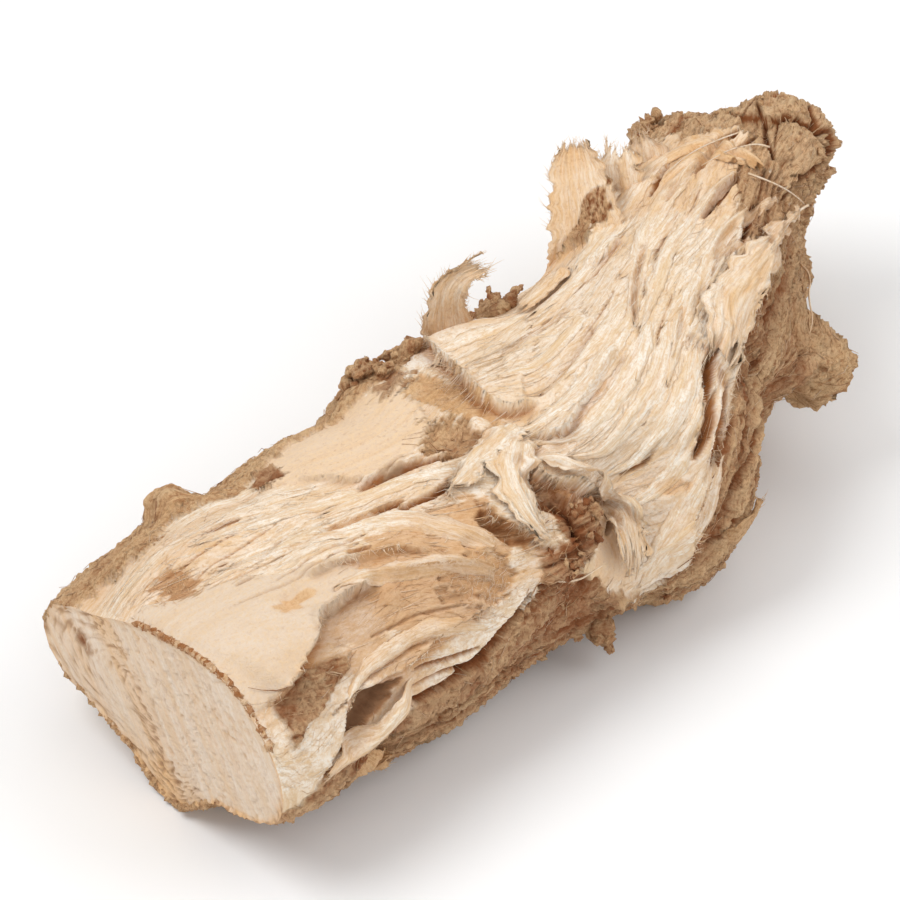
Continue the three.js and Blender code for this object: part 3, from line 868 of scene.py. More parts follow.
def smooth_path(knots):
    """Points through the knots, evenly spaced; distances are in millimetres."""
    knots = np.array(knots, float)
    u = np.linspace(0, len(knots) - 1, 12 * len(knots))
    i = np.clip(u.astype(int), 0, len(knots) - 2)
    t = (u - i)[:, None]
    p0, p1, p2 = knots[np.maximum(i - 1, 0)], knots[i], knots[i + 1]
    p3 = knots[np.minimum(i + 2, len(knots) - 1)]
    return bend_through(p0, p1, p2, p3, t)


def run_of(path, scale):
    steps = np.linalg.norm(np.diff(path[:, :2], axis=0) * scale, axis=1)
    return np.concatenate([[0], np.cumsum(steps)])


def blur(a, times=2):
    for _ in range(times):
        p = np.pad(a, 1, mode="edge")
        a = (p[:-2, 1:-1] + p[2:, 1:-1] + p[1:-1, :-2] + p[1:-1, 2:] + 2 * a) / 6
    return a


def sheet_grid(run, fray, seed, widest, step=0.3):
    """Rows and columns of a sheet whose fibres end at different lengths."""
    length = run[-1]
    rows = max(10, int(length / step))
    columns = max(7, int(2 * widest / 0.16)) | 1
    c = np.linspace(-1, 1, columns)[None, :]
    bite = fray * (0.55 + 0.5 * noise(c * widest / 0.42, seed * 7.3, seed=seed))
    bite = bite + 0.4 * fray * noise(c * widest / 0.17, seed * 3.1, seed=seed + 1)
    r = np.linspace(0, 1, rows)[:, None] * np.clip(length - np.maximum(bite, 0), 0.5 * length, length)
    return r, np.broadcast_to(c, r.shape)


def shell(heap, top, normals, thick, looks, across, run, seed):
    """A closed thin sheet from its top surface; across and run place it on the fibres."""
    rows, columns = top.shape[:2]
    count = rows * columns
    faces = grid_faces(rows, columns, False)
    index = np.arange(count).reshape(rows, columns)
    rim = np.concatenate([index[0, :-1], index[:-1, -1], index[-1, :0:-1], index[:0:-1, 0]])
    after = np.roll(rim, -1)
    side = np.stack([rim, rim + count, after + count, after], -1)
    quads = np.concatenate([faces, faces[:, ::-1] + count, side])
    both = {k: np.concatenate([np.broadcast_to(a, (rows, columns)).ravel()] * 2) for k, a in looks.items()}
    lie = np.stack([across + seed * 3.7, run + seed * 11.3, np.zeros_like(run)], -1)
    heap.add(np.stack([top, top - normals * thick[..., None]]), quads, [], both, np.stack([lie, lie]))


def ridged(c_mm, r, seed, size=0.5):
    """Fibre ridges of a sheet, and the painted shade of its valleys."""
    n = noise(c_mm / size, r / 7, seed=seed) + 0.5 * noise(c_mm / (size * 0.4), r / 4, seed=seed + 1)
    ridge = 1 - np.minimum(np.abs(n) * 2.2, 1)
    return 0.5 - ridge**1.5, ridge**3


def torn_edge(r, c, half, ragged, seed, long, short, weight, least):
    """Distance from the middle of a sheet whose sides are torn."""
    side = np.sign(c) * 9
    edge = noise(r / long, side, seed=seed + 2) + weight * noise(r / short, side, seed=seed + 3)
    return c * np.maximum(half + ragged * edge * smooth(0.3, 1.0, np.abs(c)), least)


def sheet_ridges(r, across, seed, sway, widen=1.0):
    """Coarse and fine fibre ridges of a sheet together, and the painted shade of its valleys."""
    rise, valley = ridged(across + sway * noise(r / 3, 0.5, seed=seed + 4), r, seed + 5)
    fine, _ = ridged(across * widen + 0.2 * noise(r / 2, 0.5, seed=seed + 8), r, seed + 15, 0.24)
    return rise + 0.45 * fine, valley


FINE_STEP = 0.22  # between the rows of a sheet that is seen close up


def lying_sheet(heap, knots, seed, step=0.3, fray=0.6, ragged=0.14, camber=0.22, ridges=0.13, thick=0.16,
                tuck=0.35, curl=0.0, hug=0.0, wave=0.0, tone=0.0, dark=0.0, bark=0.0):
    """A sheet that lies on the trunk; its knots are along, angle, half width and lift."""
    path = smooth_path(knots)
    scale = (1, DEGREE)
    run = run_of(path, scale)
    widest = path[:, 2].max()
    r, c = sheet_grid(run, fray, seed, widest, step)
    along, angle, half, lift = (np.interp(r, run, path[:, k]) for k in range(4))
    head = np.gradient(path[:, :2] * scale, run, axis=0)
    ha, hb = np.interp(r, run, head[:, 0]), np.interp(r, run, head[:, 1])
    norm = np.maximum(np.hypot(ha, hb), 1e-6)
    u = r / run[-1]
    off = torn_edge(r, c, half, ragged, seed, 1.1, 0.36, 0.6, 0.03)
    along = np.clip(along - off * hb / norm, 0.02, TIP - 0.1)
    angle = angle + off * ha / norm / DEGREE
    here, _, _, out = trunk_frame(along, angle)
    look = relief(along, angle, here)
    ground = blur(look["height"], 3)
    rise, valley = sheet_ridges(r, c * widest, seed, 0.3, 1.02)
    start = smooth(0, 0.22, u)
    lift = lift * start - tuck * (1 - start)
    settled = 1 - hug * smooth(0.35, 1.0, np.abs(c))
    sway = noise(r / 2.6, c * 1.1, seed=seed + 21) + 0.4 * noise(r / 1.1, c * 2.3, seed=seed + 22)
    tall = ground + lift * settled + wave * sway * start + camber * (1 - c**2) * start
    tall = tall + ridges * rise * start + curl * c**2 * lift
    top = here + out * tall[..., None]
    top[..., 2] = settle(top[..., 2])
    top = np.clip(top, CAD_LOW / MM * (1.01, 1.035, 1), CAD_HIGH / MM * (1.01, 1.03, 1.02))
    thin = thick * (1 - 0.75 * np.abs(c) ** 3) * (1 - 0.7 * u**4)
    tips = smooth(0.75, 1.0, u) * 0.25 + smooth(0.8, 1.0, np.abs(c)) * 0.2
    blotch = 1 + 0.5 * noise(r / 2.2, c * 1.7, seed=seed + 7)
    # Painted shade in the sheet's valleys; it also takes part of the tone and dark of the ground under it,
    # painted shade among them.
    shell(heap, top, out, thin, {
        "tone": np.clip(tone * blotch + tips + 0.6 * look["tone"], 0, 1),
        "dark": np.maximum(dark, np.maximum(0.06 * valley, 0.6 * np.minimum(look["dark"], 0.2))),
        "valley": valley * 0.5,
        "bark": bark,
    }, c * widest, r, seed)
    return top, out


def standing_sheet(heap, foot, facing, knots, seed, fray, ragged, thick, tone, graze=None):
    """A sheet that stands up from the trunk and shows its face to one side.

    Its knots are half width, then places ahead, out and round from the foot.
    """
    here, ahead, around, out = trunk_frame(np.array(float(foot[0])), np.array(float(foot[1])))
    basis = np.stack([ahead, out, around])
    path = smooth_path([(*knot[1:], knot[0]) for knot in knots])
    centres = here + path[:, :3] @ basis
    run = np.concatenate([[0], np.cumsum(np.linalg.norm(np.diff(centres, axis=0), axis=1))])
    widest = path[:, 3].max()
    r, c = sheet_grid(run, fray, seed, widest, FINE_STEP)
    facing = unit(np.array(facing) @ basis)
    head = unit(np.gradient(centres, run, axis=0))
    side = unit(np.cross(facing, head))
    normal = unit(np.cross(side, head))
    normal = normal * np.sign((normal @ facing))[:, None]
    centre, side, normal = (
        np.stack([np.interp(r, run, a[:, k]) for k in range(3)], -1) for a in (centres, side, normal))
    side, normal = unit(side), unit(normal)
    half = np.interp(r, run, path[:, 3])
    u = r / run[-1]
    off = -torn_edge(r, c, half, ragged, seed, 0.9, 0.35, 0.8, 0.04)
    rise, valley = sheet_ridges(r, c * widest, seed, 0.4)
    depth = 0.3 * c**2 + 0.12 * rise + 0.3 * noise(r / 2.4, c * 1.3, seed=seed + 6)
    thin = thick * (1 - 0.8 * np.abs(c) ** 3) * (1 - 0.75 * u)
    tips = smooth(0.7, 1.0, u) * 0.15 + smooth(0.8, 1.0, np.abs(c)) * 0.15
    # Painted shade in the valleys of the sheet.
    shades = {
        "tone": np.clip(tone + tips + 0.25 * noise(r / 2, c * 2, seed=seed + 7), 0, 1),
        "dark": 0.04 * valley,
        "valley": valley * 0.4,
    }
    if graze:
        at_r, at_c, long, short, turn = graze
        x, y = r - at_r, c * half - at_c
        x, y = x * math.cos(turn) + y * math.sin(turn), y * math.cos(turn) - x * math.sin(turn)
        spot = 1 - np.hypot(x / long, y / short) + 0.5 * noise(r / 0.9, c * half / 0.9, seed=seed + 8)
        worn = smooth(0, 0.12, spot)
        speck = noise(r / 0.3, c * widest / 0.3, seed=seed + 9)
        speck = speck + 0.6 * noise(r / 0.16, c * widest / 0.16, seed=seed + 10)
        shades["bark"] = worn
        shades["dark"] = np.maximum(shades["dark"], worn * np.clip(0.22 - 0.35 * speck, 0.0, 0.6))
        depth = depth - 0.15 * worn + 0.18 * worn * speck
    top = centre + side * off[..., None] + normal * depth[..., None]
    top = np.clip(top, CAD_LOW / MM * 1.01, CAD_HIGH / MM * (1.01, 1.03, 1.02))
    shell(heap, top, normal, thin, shades, c * widest, r, seed)
    return top, normal


# Strands


def add_strands(heap, paths, radii, outs, looks):
    """Tapered threads with three sides along each path."""
    margin = BOX_MARGIN * (CAD_HIGH - CAD_LOW) / MM
    inside_box = ((paths > CAD_LOW / MM - margin) & (paths < CAD_HIGH / MM + margin)).all((1, 2))
    smooth_run = np.linalg.norm(np.diff(paths, axis=1), axis=-1).max(1) < 4.0
    keep = inside_box & smooth_run
    looks = {key: np.broadcast_to(v, (len(paths),))[keep] for key, v in looks.items()}
    outs = np.broadcast_to(outs, paths.shape)[keep]
    paths, radii = paths[keep], radii[keep]
    paths[..., 2] = np.maximum(paths[..., 2], 0.1)
    count, knots = paths.shape[:2]
    if not count:
        return
    head = unit(np.gradient(paths, axis=1))
    a = unit(np.cross(head, outs) + 1e-6)
    b = np.cross(head, a)
    turn = np.radians([90, 210, 330])
    ring = a[:, :, None] * np.cos(turn)[:, None] + b[:, :, None] * np.sin(turn)[:, None]
    points = paths[:, :, None] + ring * radii[:, :, None, None]
    strand = np.arange(count)[:, None, None]
    first = strand * knots * 3 + np.arange(knots - 1)[:, None] * 3
    j = np.arange(3)
    nxt = (j + 1) % 3
    quads = np.stack([first + j, first + nxt, first + 3 + nxt, first + 3 + j], -1).reshape(-1, 4)
    base = np.arange(count)[:, None] * knots * 3
    start = np.concatenate([base + 2, base + 1, base], 1)
    last = base + (knots - 1) * 3
    end = np.concatenate([last, last + 1, last + 2], 1)
    spread = {key: np.repeat(np.broadcast_to(v, (count,)), knots * 3) for key, v in looks.items()}
    run = np.linspace(0, 5, knots)[:, None] + strand * 0.77
    lie = np.stack(np.broadcast_arrays(strand * 0.37, run, np.zeros(3)), -1)
    heap.add(points, quads, np.concatenate([start, end]), spread, lie)


def trace(along, angle, lengths, knots, wander, rng):
    """Steps along the fibres from each start, to lower along for positive lengths."""
    tracks = [(along, angle)]
    bend = rng.normal(0, wander, len(along))
    for _ in range(knots - 1):
        a, b = tracks[-1]
        run = lay_direction(a, b)
        step = (lengths / (knots - 1))[:, None]
        across = np.stack([-run[:, 1] * DEGREE, run[:, 0] / DEGREE], -1)
        bend = bend + rng.normal(0, wander * 0.6, len(along))
        move = (run + across * bend[:, None]) * step
        tracks.append((np.clip(a + move[:, 0], 0.3, TIP - 0.5), b + move[:, 1]))
    return np.stack([t[0] for t in tracks], 1), np.stack([t[1] for t in tracks], 1)


def surface_strands(heap, rng, along, angle, lengths, lifts, radii):
    """Long threads that lie on the peeled places of the trunk."""
    knots = 8
    here, _, _, out, look = detailed(*trace(along, angle, lengths, knots, 0.06, rng))
    u = np.linspace(0, 1, knots)[None, :]
    rise = -0.06 + (lifts[:, None] + 0.06) * np.sin(np.pi * u) ** 0.7
    paths = here + out * rise[..., None]
    smoothed = paths.copy()
    smoothed[:, 1:-1] = (paths[:, :-2] + 2 * paths[:, 1:-1] + paths[:, 2:]) / 4
    taper = radii[:, None] * (0.25 + 0.75 * np.sin(np.pi * np.clip(u * 0.9 + 0.08, 0, 1)))
    clear = (look["bark"].max(1) < 0.6) & (look["calm"].max(1) < 0.6)
    add_strands(heap, smoothed[clear], taper[clear], out[clear], {
        "tone": np.clip(0.35 * rng.random(len(along)) + 0.7 * look["tone"].mean(1), 0, 1)[clear],
        "dark": np.clip(0.06 * rng.random(len(along)) + 0.6 * look["dark"].mean(1), 0, 1)[clear],
    })


FRINGE_ROOT = 0.15  # how far back from the edge a thread starts
FRINGE_RADIUS = 0.055
CURL_RADIUS = 0.028


def fringe(heap, rng, line, side, spacing, reach, spread, lift):
    """Short threads that stick out past the torn edge of a sheet."""
    line = np.array(line, float)
    scaled = line * (1, DEGREE)
    lengths = np.linalg.norm(np.diff(scaled, axis=0), axis=1)
    run = np.concatenate([[0], np.cumsum(lengths)])
    count = max(3, int(0.7 * run[-1] / spacing))
    at = np.sort(rng.random(count)) * run[-1]
    x, y = np.interp(at, run, scaled[:, 0]), np.interp(at, run, scaled[:, 1])
    piece = np.clip(np.searchsorted(run, at) - 1, 0, len(lengths) - 1)
    head = (np.diff(scaled, axis=0) / lengths[:, None])[piece]
    low = np.stack([-head[:, 1], head[:, 0]], -1) * -side
    turn = rng.normal(0, spread, count)
    go = low * np.cos(turn)[:, None] + head * np.sin(turn)[:, None]
    u = np.linspace(0, 1, 6)[None, :]
    size = reach * (0.35 + rng.random(count))[:, None]
    bend = rng.normal(0, 0.5, count)[:, None]
    step = u * size - FRINGE_ROOT
    along = x[:, None] + go[:, :1] * step - go[:, 1:] * bend * size * u**2
    angle = (y[:, None] + go[:, 1:] * step + go[:, :1] * bend * size * u**2) / DEGREE
    here, _, _, out, _ = detailed(np.clip(along, 0.1, TIP - 0.3), angle)
    high = lift * (0.2 + rng.random(count))[:, None] * u**1.3
    sunk = (here[:, :1] * out[:, :1]).sum(-1) - (here * out[:, :1]).sum(-1)
    carry = np.clip(sunk, 0, 0.8) * (1 - 0.4 * u)
    paths = here + out * (0.03 + high + carry)[..., None]
    taper = FRINGE_RADIUS * (0.6 + 0.6 * rng.random(count))[:, None] * (1 - 0.8 * u)
    add_strands(heap, paths, taper, out, {
        "tone": np.clip(0.3 + 0.3 * rng.random(count), 0, 1),
        "dark": 0.04 * rng.random(count),
    })


def curls(heap, rng, centre, reach, count, size, lift, tone, dark):
    """Curly hairs round a place on the trunk."""
    along = centre[0] + rng.normal(0, reach, count)
    angle = centre[1] + rng.normal(0, reach, count) / DEGREE
    knots = 9
    along = np.clip(along, 1.2, TIP - 2.5)
    here, ahead, around, out, _ = detailed(along, angle)
    turn = rng.random(count) * 2 * np.pi
    bend = rng.normal(0, 1.3, count)
    path = [here + out * (0.05 + lift * 0.3 * rng.random(count))[:, None]]
    step = size * (0.5 + rng.random(count)) / (knots - 1)
    climb = rng.normal(0.25, 0.5, count)
    for k in range(knots - 1):
        turn = turn + bend / (knots - 1) + rng.normal(0, 0.25, count)
        go = ahead * np.cos(turn)[:, None] + around * np.sin(turn)[:, None]
        up = climb * np.cos(np.pi * k / (knots - 1)) * lift
        path.append(path[-1] + go * step[:, None] + out * (up / (knots - 1))[:, None])
    paths = np.stack(path, 1)
    taper = CURL_RADIUS * (0.6 + 0.7 * rng.random(count))[:, None] * np.linspace(1, 0.3, knots)[None, :]
    add_strands(heap, paths, taper, out[:, None], {
        "tone": np.clip(tone + 0.4 * (rng.random(count) - 0.5), 0, 1),
        "dark": np.clip(dark + 0.25 * (rng.random(count) - 0.5), 0, 1),
    })


def fuzz(rng, along, angle, lengths, wander, low, high, power, sunk, widths):
    """Paths, tapers, outward directions and looks of short fibres that rise from the trunk."""
    count = len(along)
    here, _, _, out, look = detailed(*trace(along, angle, rng.uniform(*lengths, count), 4, wander, rng))
    rise = (low + high * rng.random(count) ** power)[:, None] * np.linspace(0, 1, 4) - sunk
    taper = rng.uniform(*widths, count)[:, None] * np.linspace(1, 0.4, 4)
    return here + out * rise[..., None], taper, out, look


def peeled_fuzz(heap, rng, count):
    """Short fine fibres that lie on the peeled places."""
    along, angle = rng.uniform(1, 84, count), rng.uniform(44, 190, count)
    look = relief(along, angle)
    peeled = (look["bark"] < 0.1) & (look["calm"] < 0.5)
    paths, taper, out, look = fuzz(rng, along[peeled], angle[peeled], lengths=(0.6, 2.2), wander=0.35,
                                   low=0.02, high=0.09, power=2, sunk=0.02, widths=(0.02, 0.045))
    add_strands(heap, paths, taper, out, {
        "tone": look["tone"].mean(1) + 0.5 * rng.random(len(paths)) ** 2,
        "dark": 0.8 * look["dark"].mean(1) + 0.2 * rng.random(len(paths)) ** 3})


def bark_fuzz(heap, rng, count):
    """Short fibres that lie on the bark and stand up from it."""
    along, angle = rng.uniform(1, TIP - 2, count), rng.uniform(0, 240, count)
    rough = relief(along, angle)["bark"] > 0.5
    paths, taper, out, _ = fuzz(rng, along[rough], angle[rough], lengths=(0.7, 2.4), wander=0.5,
                                low=0.05, high=0.3, power=3, sunk=0.03, widths=(0.03, 0.07))
    add_strands(heap, paths, taper, out, {
        "bark": 0.6, "tone": rng.random(len(paths)), "dark": 0.5 * rng.random(len(paths)) ** 2})


def tip_hairs(heap, rng, top, normals, chance, size, radius, tone):
    """Threads that carry on past the end and the edges of a sheet."""
    rows, columns = top.shape[:2]
    down = np.arange(rows // 3, rows)
    row = np.concatenate([np.full(columns, rows - 1), down, down])
    column = np.concatenate([np.arange(columns), 0 * down, 0 * down + columns - 1])
    keep = rng.random(len(row)) < chance
    row, column = row[keep], column[keep]
    count = len(row)
    if not count:
        return
    start = top[row, column]
    head = unit(start - top[np.maximum(row - 3, 0), column])
    inner = np.clip(column, 1, columns - 2)
    at_side = (column == 0) | (column == columns - 1)
    outward = unit(start - top[row, inner + (inner == column)] + 1e-6) * at_side[:, None]
    out = normals[row, column]
    go = unit(head + outward * (0.3 + 0.5 * rng.random(count))[:, None] + rng.normal(0, 0.25, (count, 3)))
    bend = unit(rng.normal(0, 1, (count, 3)))
    v = np.linspace(0, 1, 6)[None, :, None]
    length = size * (0.3 + rng.random(count))[:, None, None]
    paths = start[:, None] - go[:, None] * 0.15 + go[:, None] * v * length
    paths = paths + bend[:, None] * length * 0.35 * v**2
    paths[..., 2] = settle(paths[..., 2])
    taper = radius * (0.6 + 0.6 * rng.random(count))[:, None] * (1 - 0.8 * v[..., 0])
    add_strands(heap, paths, taper, out[:, None], {
        "tone": np.clip(tone + 0.3 * rng.random(count), 0, 1), "dark": 0.08 * rng.random(count)})


# Materials


class Nodes:
    """Adds nodes to a tree and joins them."""

    def __init__(self, tree):
        self.tree = tree

    def add(self, kind, **values):
        node = self.tree.nodes.new(kind)
        for key, value in values.items():
            setattr(node, key, value)
        return node

    def feed(self, socket, source):
        if isinstance(source, bpy.types.NodeSocket):
            self.tree.links.new(source, socket)
        else:
            socket.default_value = source

    def value(self, operation, a, b, clamp=False):
        node = self.add("ShaderNodeMath", operation=operation, use_clamp=clamp)
        self.feed(node.inputs[0], a)
        self.feed(node.inputs[1], b)
        return node.outputs[0]

    def times(self, a, b, clamp=False):
        return self.value("MULTIPLY", a, b, clamp)

    def plus(self, a, b):
        return self.value("ADD", a, b)

    def mix(self, factor, a, b):
        node = self.add("ShaderNodeMix", data_type="RGBA")
        self.feed(node.inputs["Factor"], factor)
        self.feed(node.inputs[6], a)
        self.feed(node.inputs[7], b)
        return node.outputs[2]

    def feed_all(self, node, **sources):
        for label, source in sources.items():
            self.feed(node.inputs[label.replace("_", " ")], source)

    def noise(self, place, scale, detail, rough, warp=0.0):
        node = self.add("ShaderNodeTexNoise")
        self.feed_all(node, Vector=place, Scale=scale, Detail=detail, Roughness=rough, Distortion=warp)
        return node.outputs["Fac"]

    def stretch(self, place, scale):
        node = self.add("ShaderNodeVectorMath", operation="MULTIPLY")
        self.feed(node.inputs[0], place)
        node.inputs[1].default_value = scale
        return node.outputs[0]

    def span(self, value, low, high, to_low=0.0, to_high=1.0):
        node = self.add("ShaderNodeMapRange", interpolation_type="SMOOTHSTEP")
        self.feed_all(node, Value=value, From_Min=low, From_Max=high, To_Min=to_low, To_Max=to_high)
        return node.outputs["Result"]

    def attribute(self, name, output="Fac"):
        return self.add("ShaderNodeAttribute", attribute_name=name).outputs[output]


def group_of(name, given, outs):
    """An empty node group that takes one vector and gives named values."""
    group = bpy.data.node_groups.new(name, "ShaderNodeTree")
    group.interface.new_socket(name=given, in_out="INPUT", socket_type="NodeSocketVector")
    for label in outs:
        group.interface.new_socket(name=label, in_out="OUTPUT", socket_type="NodeSocketFloat")
    n = Nodes(group)
    return group, n, n.add("NodeGroupInput").outputs[given], n.add("NodeGroupOutput")


def streak_group():
    """Fine streaks along the fibres: two colour factors and a height."""
    group, n, lie, end = group_of("fibre streaks", "Lie", ("Broad", "Fine", "Height"))
    broad = n.noise(n.stretch(lie, (0.8, 0.10, 1.0)), 1.0, 4.0, 0.6, 0.3)
    middle = n.noise(n.stretch(lie, (3.2, 0.38, 1.0)), 1.0, 4.0, 0.7, 0.5)
    hair = n.noise(n.stretch(lie, (8.0, 1.1, 1.0)), 1.0, 3.0, 0.7, 0.5)
    fine = n.plus(n.times(middle, 0.55), n.times(hair, 0.45))
    n.feed_all(end, Broad=broad, Fine=fine, Height=n.plus(n.times(middle, 0.4), n.times(hair, 0.6)))
    return group


def grain_group():
    """Crumbly bark: two colour factors, dark specks and a height."""
    group, n, place, end = group_of("bark grain", "Place", ("Mottle", "Fine", "Specks", "Height"))
    mottle = n.noise(place, 700.0, 5.0, 0.7)
    fine = n.noise(place, 3000.0, 4.0, 0.75)
    specks = n.span(n.noise(place, 2300.0, 2.0, 0.6), 0.60, 0.68)
    n.feed_all(end, Mottle=mottle, Fine=fine, Specks=specks, Height=n.plus(fine, n.times(mottle, 0.6)))
    return group


def peeled_material(name, looks, streaks, grains, cream, cream_shade):
    """The look of the whole piece; cream and cream_shade are the bare fibres."""
    material = bpy.data.materials.new(name)
    material.use_nodes = True
    n = Nodes(material.node_tree)
    shader = material.node_tree.nodes["Principled BSDF"]
    streak = n.add("ShaderNodeGroup", node_tree=streaks)
    n.feed_all(streak, Lie=n.attribute("lie", "Vector"))
    grain = n.add("ShaderNodeGroup", node_tree=grains)
    n.feed_all(grain, Place=n.add("ShaderNodeTexCoord").outputs["Object"])
    bark, tone, dark, calm = (n.attribute(key) for key in MASKS)
    paint = {key: getattr(looks, key)[:] for key in RhizomeLooks.__annotations__}
    broad, streaky, dust = streak.outputs["Broad"], streak.outputs["Fine"], grain.outputs["Fine"]
    even = n.value("SUBTRACT", 1.0, n.times(calm, 0.8))
    fine = n.plus(n.times(n.value("SUBTRACT", streaky, 0.52), even), 0.52)
    skin = n.mix(n.span(dust, 0.44, 0.60), paint["smooth_skin"], cream_shade[:])
    pale = n.mix(n.span(fine, 0.40, 0.58), cream_shade[:], cream[:])
    pale = n.mix(n.span(broad, 0.44, 0.70, 0.0, 0.55), pale, paint["honey"])
    pale = n.mix(n.span(dust, 0.50, 0.62, 0.0, 0.45), pale, paint["honey"])
    pale = n.mix(n.times(calm, 0.6), pale, skin)
    toned = n.times(tone, n.span(broad, 0.2, 0.75, 0.75, 1.15), True)
    tan = n.span(n.plus(n.times(fine, 0.5), n.times(dust, 0.5)), 0.38, 0.62)
    tan = n.mix(tan, paint["tan_shade"], paint["tan"])
    rough = n.mix(n.span(grain.outputs["Mottle"], 0.38, 0.62), paint["bark_dark"], paint["bark"])
    for share, layer in (
        # Tan where grain is high: the bark's own mottle, and a painted highlight on the tops of the strings.
        (n.times(n.attribute("grain"), 0.6), paint["tan"]),
        (n.times(tone, 0.7), tan),
        (n.span(dust, 0.50, 0.38, 0.0, 0.4), paint["bark_deep"]),
        (n.span(dust, 0.54, 0.64, 0.0, 0.75), paint["tan"]),
        (n.span(streaky, 0.50, 0.38, 0.0, 0.6), paint["bark_deep"]),
    ):
        rough = n.mix(share, rough, layer)
    # What dark mixes to: the brown of bark and brown spots, and painted shade in slits, hollows, crevices and
    # under sheet edges.
    brown_and_shade = n.mix(bark, n.mix(calm, paint["hollow"], paint["dusk"]), paint["bark_deep"])
    shade = n.times(dark, n.span(fine, 0.25, 0.7, 1.25, 0.8), True)
    colour = pale
    for share, layer in (
        (toned, tan),
        (bark, rough),
        (n.times(grain.outputs["Specks"], n.plus(n.times(tone, 0.22), 0.10)), paint["hollow"]),
        # Painted shade in the valleys of the fibres and in the low places.
        (n.times(n.attribute("valley"), 0.75, True), paint["tan_shade"]),
        # Dark brings in brown and painted shade; the highest dark turns deep, painted shade at the bottoms of
        # clefts and the knot's brown.
        (n.span(shade, 0.0, 0.55), brown_and_shade),
        (n.span(shade, 0.5, 1.0), paint["deep"]),
    ):
        colour = n.mix(share, colour, layer)
    fuzz = n.times(grain.outputs["Height"], n.plus(n.times(bark, 3.6), 0.9))
    height = n.plus(n.times(streak.outputs["Height"], n.times(even, 0.8)), fuzz)
    bump = n.add("ShaderNodeBump")
    n.feed_all(bump, Strength=0.8, Distance=0.0002, Height=height)
    n.feed_all(shader, Base_Color=colour, Roughness=0.72, Specular_IOR_Level=0.25,
               Normal=bump.outputs["Normal"])
    return material


# Settings


def tint(label, words, colour):
    return bpy.props.FloatVectorProperty(
        name=label, description=words, default=(*colour, 1.0), subtype="COLOR", size=4, min=0.0, max=1.0)


def linear(red, green, blue):
    """Screen colour from 0 to 255 as the scene's linear colour."""
    return tuple(((c / 255 + 0.055) / 1.055) ** 2.4 for c in (red, green, blue))


class RhizomeLooks(bpy.types.PropertyGroup):
    """Colours of the rhizome."""

    cream: tint("Cream", "Bright peeled fibres", linear(252, 244, 231))
    cream_shade: tint("Cream shade", "Duller peeled fibres", linear(230, 204, 171))
    smooth_skin: tint("Smooth skin", "Pale skin without fibres", linear(222, 199, 176))
    # Dusk: painted shade on the shaded sheets and in hollows, and the brown specks of the sawn face.
    dusk: tint("Dusk", "Smooth skin on the shaded sheets", linear(176, 144, 114))
    honey: tint("Honey", "Broad warm streaks in the fibres", linear(228, 190, 138))
    tan: tint("Tan", "Smooth tan skin", linear(240, 202, 154))
    # Tan shade: darker streaks of tan skin, and the painted shade in the valleys of the fibres.
    tan_shade: tint("Tan shade", "Darker tan skin", linear(218, 168, 114))
    bark: tint("Bark", "Rough bark", linear(255, 220, 176))
    bark_dark: tint("Dark bark", "Darker patches of the bark", linear(250, 200, 152))
    # Bark crevices: dark streaks and specks of the bark, and the painted shade in its crevices, pits and
    # cracks.
    bark_deep: tint("Bark crevices", "Crevices of the bark", linear(160, 96, 54))
    sawn: tint("Sawn face", "The sawn face", linear(248, 236, 222))
    sawn_shade: tint("Sawn shade", "Streaks of the sawn face", linear(222, 200, 176))
    # Hollow: brown spots and specks, and the painted shade in slits and hollows.
    hollow: tint("Hollow", "Brown hollows and slits", linear(172, 112, 62))
    # Deep: painted shade at the bottoms of deep clefts, and the brown of the sawn face's knot.
    deep: tint("Deep", "The bottoms of deep clefts", linear(78, 42, 20))


def count_setting(label, words, default):
    return bpy.props.IntProperty(name=label, description=words, default=default, min=0)


def amount_setting(label, words, default):
    return bpy.props.FloatProperty(
        name=label, description=words, default=default, min=0.0, soft_max=4.0, subtype="FACTOR")


def angle_setting(label, words, degrees):
    return bpy.props.FloatProperty(
        name=label, description=words, default=math.radians(degrees), subtype="ANGLE", unit="ROTATION")


class RhizomeSizes(bpy.types.PropertyGroup):
    """How fine the pieces are, and how many loose bits they carry."""

    trunk_rows: count_setting("Trunk rows", "Rows of points along each third of the trunk", 168)
    small_locks: count_setting("Small locks", "Short locks of fibre tried on the peeled places", 32)
    lying_threads: count_setting("Lying threads", "Long threads tried on the peeled places", 2000)
    peeled_fuzz: count_setting("Peeled fuzz", "Short fibres tried on the peeled places", 5000)
    bark_fuzz: count_setting("Bark fuzz", "Short fibres tried on the bark", 4400)
    lock_lift: amount_setting("Lock lift", "How far the locks of fibre stand off the trunk", 0.45)
    lock_thickness: amount_setting("Lock thickness", "Thickness of a lock of fibre, in millimetres", 0.06)
    crumb_scale: amount_setting("Crumb size", "Size of the crumbs of bark against their usual size", 1.0)


class StageSettings(bpy.types.PropertyGroup):
    """The floor, lights and camera."""

    lens: bpy.props.FloatProperty(
        name="Lens", description="Focal length in millimetres", default=250.0, min=20.0)
    azimuth: angle_setting("Azimuth", "Where the camera stands round the piece", -42.6)
    elevation: angle_setting("Elevation", "How high the camera looks down from", 45.0)
    floor: tint("Floor", "The pale floor", (0.93, 0.93, 0.93))
    sky: amount_setting("Sky", "Strength of the even light from all round", 0.46)


def root_material(context, name="peeled root", bare="cream"):
    """The material of that name, made when it is first asked for; bare colours its peeled fibres."""
    groups = bpy.data.node_groups
    streaks = groups.get("fibre streaks") or streak_group()
    grains = groups.get("bark grain") or grain_group()
    looks = context.scene.rhizome_looks
    return bpy.data.materials.get(name) or peeled_material(
        name, looks, streaks, grains, getattr(looks, bare), getattr(looks, bare + "_shade"))


# Operators

